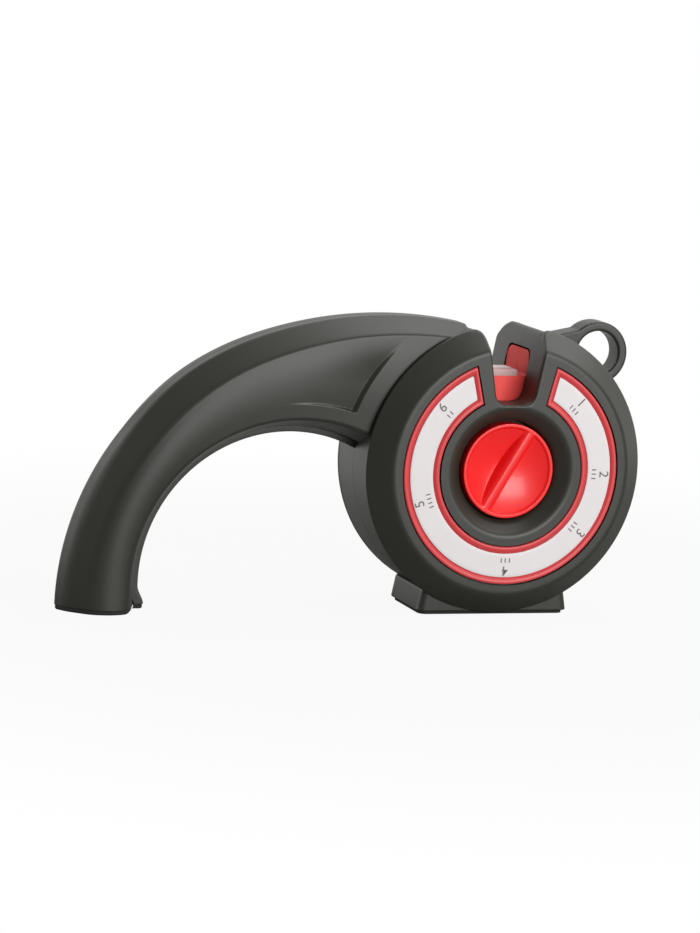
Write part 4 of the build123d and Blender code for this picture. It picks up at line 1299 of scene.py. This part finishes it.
def loop_skin(drum, loop):
    """Hanging loop: a rounded section carried round the ring, its outer side drawn out to the web's edge.

    Past the web's top the outer radius is that of the straight line from there to the web's foot on the band.
    """
    centre = loop.distance * ray(loop.bearing)
    angle = loop.bearing + math.pi * np.linspace(-0.77, 0.77, 120)
    top = centre + loop.radius * ray(loop.web_top)
    foot = drum.band_radius * ray(loop.web)
    normal = np.array([(foot - top)[1], -(foot - top)[0]])
    facing = ray(angle) @ normal
    facing = np.where(np.abs(facing) > TINY, facing, TINY)
    web = np.where(angle > loop.web_top, (top - centre) @ normal / facing, 0)
    reach = np.clip(np.maximum(web, loop.radius), 0, MM * 20.5)
    hole = np.full_like(reach, loop.hole)
    depth = loop.half_depth
    rows = [(hole, 0.0), (hole, depth), (reach, depth), (reach, 0.0)]
    corners = np.stack([np.stack([r, np.full_like(r, d)], axis=-1) for r, d in rows], axis=1)
    line = rounded_line(corners, [MM * 1.1, MM * 1.1], [4, 6, 4])
    line = np.concatenate([line, line[:, -2:0:-1] * (1, -1)], axis=1)
    points = outline_points(centre + line[..., :1] * ray(angle)[:, None], line[..., 1], drum, REAR)
    middle = centre + (hole + reach)[:, None] / 2 * ray(angle)
    return Skin().grid(points, outline_points(middle, 0.0, drum)[:, None], wrap=True)


def screw_head(skin, place, under, lean):
    """Pan head with a cross recess: a rounded disc whose middle drops where either arm of the cross runs.

    The disc falls with the square of the radius, and past its shoulder with the cube of the way to its edge.
    """
    edge, shoulder = MM * 3.0, MM * 2.2
    arm, slim, wall, recess = MM * 1.75, MM * 0.42, MM * 0.12, MM * 1.1
    outside = MM * np.array([2.3, 2.45, 2.6, 2.75, 2.88, 2.96, 3.0])
    radius = np.concatenate([np.linspace(0, shoulder, 56), outside])[:, None]
    angle = np.linspace(0, FULL_TURN, 145)[:-1]
    past = np.clip((radius - shoulder) / (edge - shoulder), 0, 1)
    crown = SCREW_HEAD - MM * 0.25 * (radius / edge) ** 2 - SCREW_HEAD * 0.35 * past**3
    first, second = np.abs(radius * np.cos(angle - lean)), np.abs(radius * np.sin(angle - lean))

    def arm_share(along, across):
        return (1 - smooth_step(along, arm - wall, arm)) * (1 - smooth_step(across, slim - wall, slim))

    cross = np.maximum(arm_share(first, second), arm_share(second, first))
    points = turned_points(place, radius, angle, under + crown - recess * cross)
    centre = np.array([place[0], under, place[1]])
    skin.grid(points, centre, wrap=True)
    skirt = np.stack([points[-1], points[-1] * (1, 0, 1) + np.array([0, under, 0])])
    return skin.grid(skirt, centre, wrap=True)


# Stage


def soft_lamp(name, place, size, power_watts):
    """Rectangular area lamp that looks at the object."""
    data = bpy.data.lights.new(name, "AREA")
    data.shape = "RECTANGLE"
    data.size, data.size_y = size
    data.energy = power_watts
    aim = Vector(place) - Vector(LAMP_TARGET)
    turned = aim.to_track_quat("Z", "Y").to_matrix().to_4x4()
    linked(name, data).matrix_world = Matrix.Translation(place) @ turned


def make_world(stage):
    """Surround of plain light, white to the camera and, behind the object, to mirrors."""
    world = bpy.data.worlds.new("surround")
    world.use_nodes = True
    nodes = Nodes(world.node_tree)
    ambient = nodes.node("ShaderNodeBackground", None, {"Color": WHITE, "Strength": stage.surround})
    white = nodes.node("ShaderNodeBackground", None, {"Color": WHITE, "Strength": 1.0})
    ends = {0: nodes.background_share(*SURROUND_WHITE), 1: ambient, 2: white}
    mixed = nodes.node("ShaderNodeMixShader", None, ends)
    nodes.feed(nodes.tree.nodes["World Output"], {"Surface": mixed})
    bpy.context.scene.world = world


def make_floor(stage):
    """Pale floor: matt, with a share of plain white, so that it joins the background and takes a shadow."""
    half = stage.floor_size / 2
    line = np.linspace(-half, half, 3)
    floor = Skin().grid(placed(line[:, None], line, 0.0), np.array([0, 0, -1.0])).build("floor")
    finish = Finish("pale_floor")
    tone = stage.floor_tone
    base = finish.blend(finish.noise(60.0), (tone * 0.99,) * 3, (tone,) * 3)
    finish.done(Base_Color=base, Roughness=0.9, Specular_IOR_Level=0.0)
    matt = Value(finish, finish.shader.outputs[0])
    glow = finish.node("ShaderNodeEmission", None, {"Color": WHITE, "Strength": 1.0})
    away = finish.node("ShaderNodeVectorMath", {"operation": "LENGTH"}, {0: finish.place}, "Value")
    whiten = finish.ramp(away, stage.floor_near, stage.floor_far, stage.floor_glow)
    whiten = whiten * finish.background_share(*FLOOR_WHITE)
    mixed = finish.node("ShaderNodeMixShader", None, {0: whiten, 1: matt, 2: glow})
    finish.feed(finish.tree.nodes["Material Output"], {"Surface": mixed})
    floor.data.materials.append(finish.material)


def make_camera(stage):
    """Camera at the photograph's angle: back runs from object to camera, and the roll turns right and up."""
    a, e, roll = stage.azimuth, stage.elevation, stage.roll
    right = np.array([math.cos(a), math.sin(a), 0])
    back = np.array([math.sin(a) * math.cos(e), -math.cos(a) * math.cos(e), math.sin(e)])
    up = np.cross(back, right)
    across = math.cos(roll) * right + math.sin(roll) * up
    upright = math.cos(roll) * up - math.sin(roll) * right
    turned = Matrix(np.stack([across, upright, back], axis=1).tolist()).to_4x4()
    data = bpy.data.cameras.new("camera")
    data.sensor_width = 36.0
    data.lens = stage.lens
    data.clip_end = 20.0
    camera = linked("camera", data)
    camera.matrix_world = Matrix.Translation(stage.camera_place) @ turned
    bpy.context.scene.camera = camera


# Operators


class SHARPENER_OT_caps(bpy.types.Operator):
    """Bevelled covers of the drum, with the knife slot's notch."""

    bl_idname = "sharpener.caps"
    bl_label = "Caps"

    def execute(self, context):
        drum, dial = context.scene.sharpener_drum, context.scene.sharpener_dial
        for end, side in SIDES.items():
            made = cap_skin(drum, dial, side).build(f"{end}_cap_skin")
            seat(made, "housing", "body_plastic", finish_named("body_moulding"), f"{end}_cap")
        return {"FINISHED"}


class SHARPENER_OT_dial(bpy.types.Operator):
    """Red tray, scale plate and printed numbers."""

    bl_idname = "sharpener.dial"
    bl_label = "Dial"

    def execute(self, context):
        drum, dial = context.scene.sharpener_drum, context.scene.sharpener_dial
        tray = tray_skin(drum, dial).build("tray_skin")
        seat(tray, "housing", "red_tray", finish_named("tray_plastic"), "dial_tray")
        plate = plate_skin(drum, dial).build("plate_skin")
        seat(plate, "housing", "scale_plate", finish_named("scale_print_base"), "dial_plate")
        seat(dial_print("dial_numbers", drum, dial), "housing", "scale_plate", finish_named("number_ink"))
        return {"FINISHED"}


class SHARPENER_OT_knob(bpy.types.Operator):
    """Selector knob with its grip bar."""

    bl_idname = "sharpener.knob"
    bl_label = "Knob"

    def execute(self, context):
        made = knob_skin(context.scene.sharpener_drum, context.scene.sharpener_knob).build("knob_skin")
        seat(made, "turret", "red_knob", finish_named("knob_plastic"), "selector_knob")
        return {"FINISHED"}


class SHARPENER_OT_body(bpy.types.Operator):
    """Two halves of the body: band, foot block and handle, with the rubber under the handle."""

    bl_idname = "sharpener.body"
    bl_label = "Body halves"

    def execute(self, context):
        drum, handle = context.scene.sharpener_drum, context.scene.sharpener_handle
        finish = finish_named("body_moulding")
        pad = Skin()
        for end, side in SIDES.items():
            skins = {
                "band": band_skin(drum, side),
                "block": block_skin(drum, side),
                "handle": handle_skin(drum, handle, side),
            }
            for part, skin in skins.items():
                seat(skin.build(f"{end}_{part}"), "housing", "body_plastic", finish, f"{end}_shell")
            pad_skin(pad, drum, handle, side)
        pockets = Skin()
        for place in screw_places(handle):
            collar_skin(pockets, place, HANDLE_COLLAR, handle_depth(handle, place[0]))
        for place in BLOCK_SCREWS:
            collar_skin(pockets, place, BLOCK_COLLAR, drum.block_depth)
        seat(pockets.build("screw_pockets"), "housing", "body_plastic", finish, "rear_shell")
        pad = pad.build("handle_pad_skin")
        seat(pad, "housing", "foot_rubber", finish_named("pad_rubber"), "handle_foot_pad")
        return {"FINISHED"}


class SHARPENER_OT_loop(bpy.types.Operator):
    """Hanging loop with its web."""

    bl_idname = "sharpener.loop"
    bl_label = "Hanging loop"

    def execute(self, context):
        made = loop_skin(context.scene.sharpener_drum, context.scene.sharpener_loop).build("loop_skin")
        seat(made, "housing", "body_plastic", finish_named("body_moulding"), "hang_loop")
        return {"FINISHED"}


class SHARPENER_OT_turret(bpy.types.Operator):
    """Halves of the station wheel and the pale bar in its top notch."""

    bl_idname = "sharpener.turret"
    bl_label = "Turret"

    def execute(self, context):
        drum, turret = context.scene.sharpener_drum, context.scene.sharpener_turret
        for end, side in SIDES.items():
            made = turret_skin(drum, turret, side).build(f"turret_{end}_skin")
            seat(made, "turret", "red_turret", finish_named("turret_plastic"), f"turret_{end}")
        low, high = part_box("scissor_bar")
        bar = rounded_box(low, high, BAR_EDGE).build("scissor_bar_skin")
        seat(bar, "turret", "white_ceramic", finish_named("fired_ceramic"), "scissor_bar")
        return {"FINISHED"}


class SHARPENER_OT_screws(bpy.types.Operator):
    """Cross-recess heads of the axle screw and of the case screws."""

    bl_idname = "sharpener.screws"
    bl_label = "Screws"

    def execute(self, context):
        drum, handle = context.scene.sharpener_drum, context.scene.sharpener_handle
        finish = finish_named("plated_screw")
        rear_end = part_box("axle_screw")[1][1]
        head = screw_head(Skin(), (0.0, drum.axis_height), rear_end - SCREW_HEAD, 0.4)
        seat(head.build("axle_screw_skin"), "turret", "screw_steel", finish, "axle_screw")
        heads = Skin()
        for turned, place in enumerate([*screw_places(handle), *BLOCK_SCREWS]):
            screw_head(heads, place, SCREW_SEAT, 0.3 + turned)
        seat(heads.build("case_screw_heads"), "housing", "screw_steel", finish, "case_screws")
        return {"FINISHED"}


class SHARPENER_OT_finishes(bpy.types.Operator):
    """Finishes of the CAD pieces that stay as they are."""

    bl_idname = "sharpener.finishes"
    bl_label = "Carried-over pieces"

    def execute(self, context):
        carried_over()
        return {"FINISHED"}


class SHARPENER_OT_stage(bpy.types.Operator):
    """Floor, surround, lamps and camera."""

    bl_idname = "sharpener.stage"
    bl_label = "Stage"

    def execute(self, context):
        stage = context.scene.sharpener_stage
        context.scene.view_settings.view_transform = "Standard"
        make_world(stage)
        make_floor(stage)
        for end, (place, size) in LAMPS.items():
            soft_lamp(f"{end}_lamp", place, size, getattr(stage, f"{end}_power"))
        make_camera(stage)
        return {"FINISHED"}


class SHARPENER_PT_panel(bpy.types.Panel):
    """Steps that dress the sharpener, in order."""

    bl_idname = "SHARPENER_PT_panel"
    bl_label = "Sharpener"
    bl_space_type = "VIEW_3D"
    bl_region_type = "UI"
    bl_category = "Sharpener"

    def draw(self, context):
        for step in STEPS:
            self.layout.operator(step.bl_idname)


STEPS = (
    SHARPENER_OT_caps,
    SHARPENER_OT_dial,
    SHARPENER_OT_knob,
    SHARPENER_OT_body,
    SHARPENER_OT_loop,
    SHARPENER_OT_turret,
    SHARPENER_OT_screws,
    SHARPENER_OT_finishes,
    SHARPENER_OT_stage,
)
CLASSES = (*SETTINGS.values(), *STEPS, SHARPENER_PT_panel)


def register():
    """Makes the settings, steps and panel known, and gives each scene its settings."""
    for group in CLASSES:
        bpy.utils.register_class(group)
    for name, group in SETTINGS.items():
        setattr(bpy.types.Scene, name, PointerProperty(type=group))


def unregister():
    """Takes back what register has done."""
    for name in SETTINGS:
        delattr(bpy.types.Scene, name)
    for group in reversed(CLASSES):
        bpy.utils.unregister_class(group)


def main():
    """Runs every step."""
    register()
    bpy.ops.sharpener.caps()
    bpy.ops.sharpener.dial()
    bpy.ops.sharpener.knob()
    bpy.ops.sharpener.body()
    bpy.ops.sharpener.loop()
    bpy.ops.sharpener.turret()
    bpy.ops.sharpener.screws()
    bpy.ops.sharpener.finishes()
    bpy.ops.sharpener.stage()


if __name__ == "__main__":
    main()
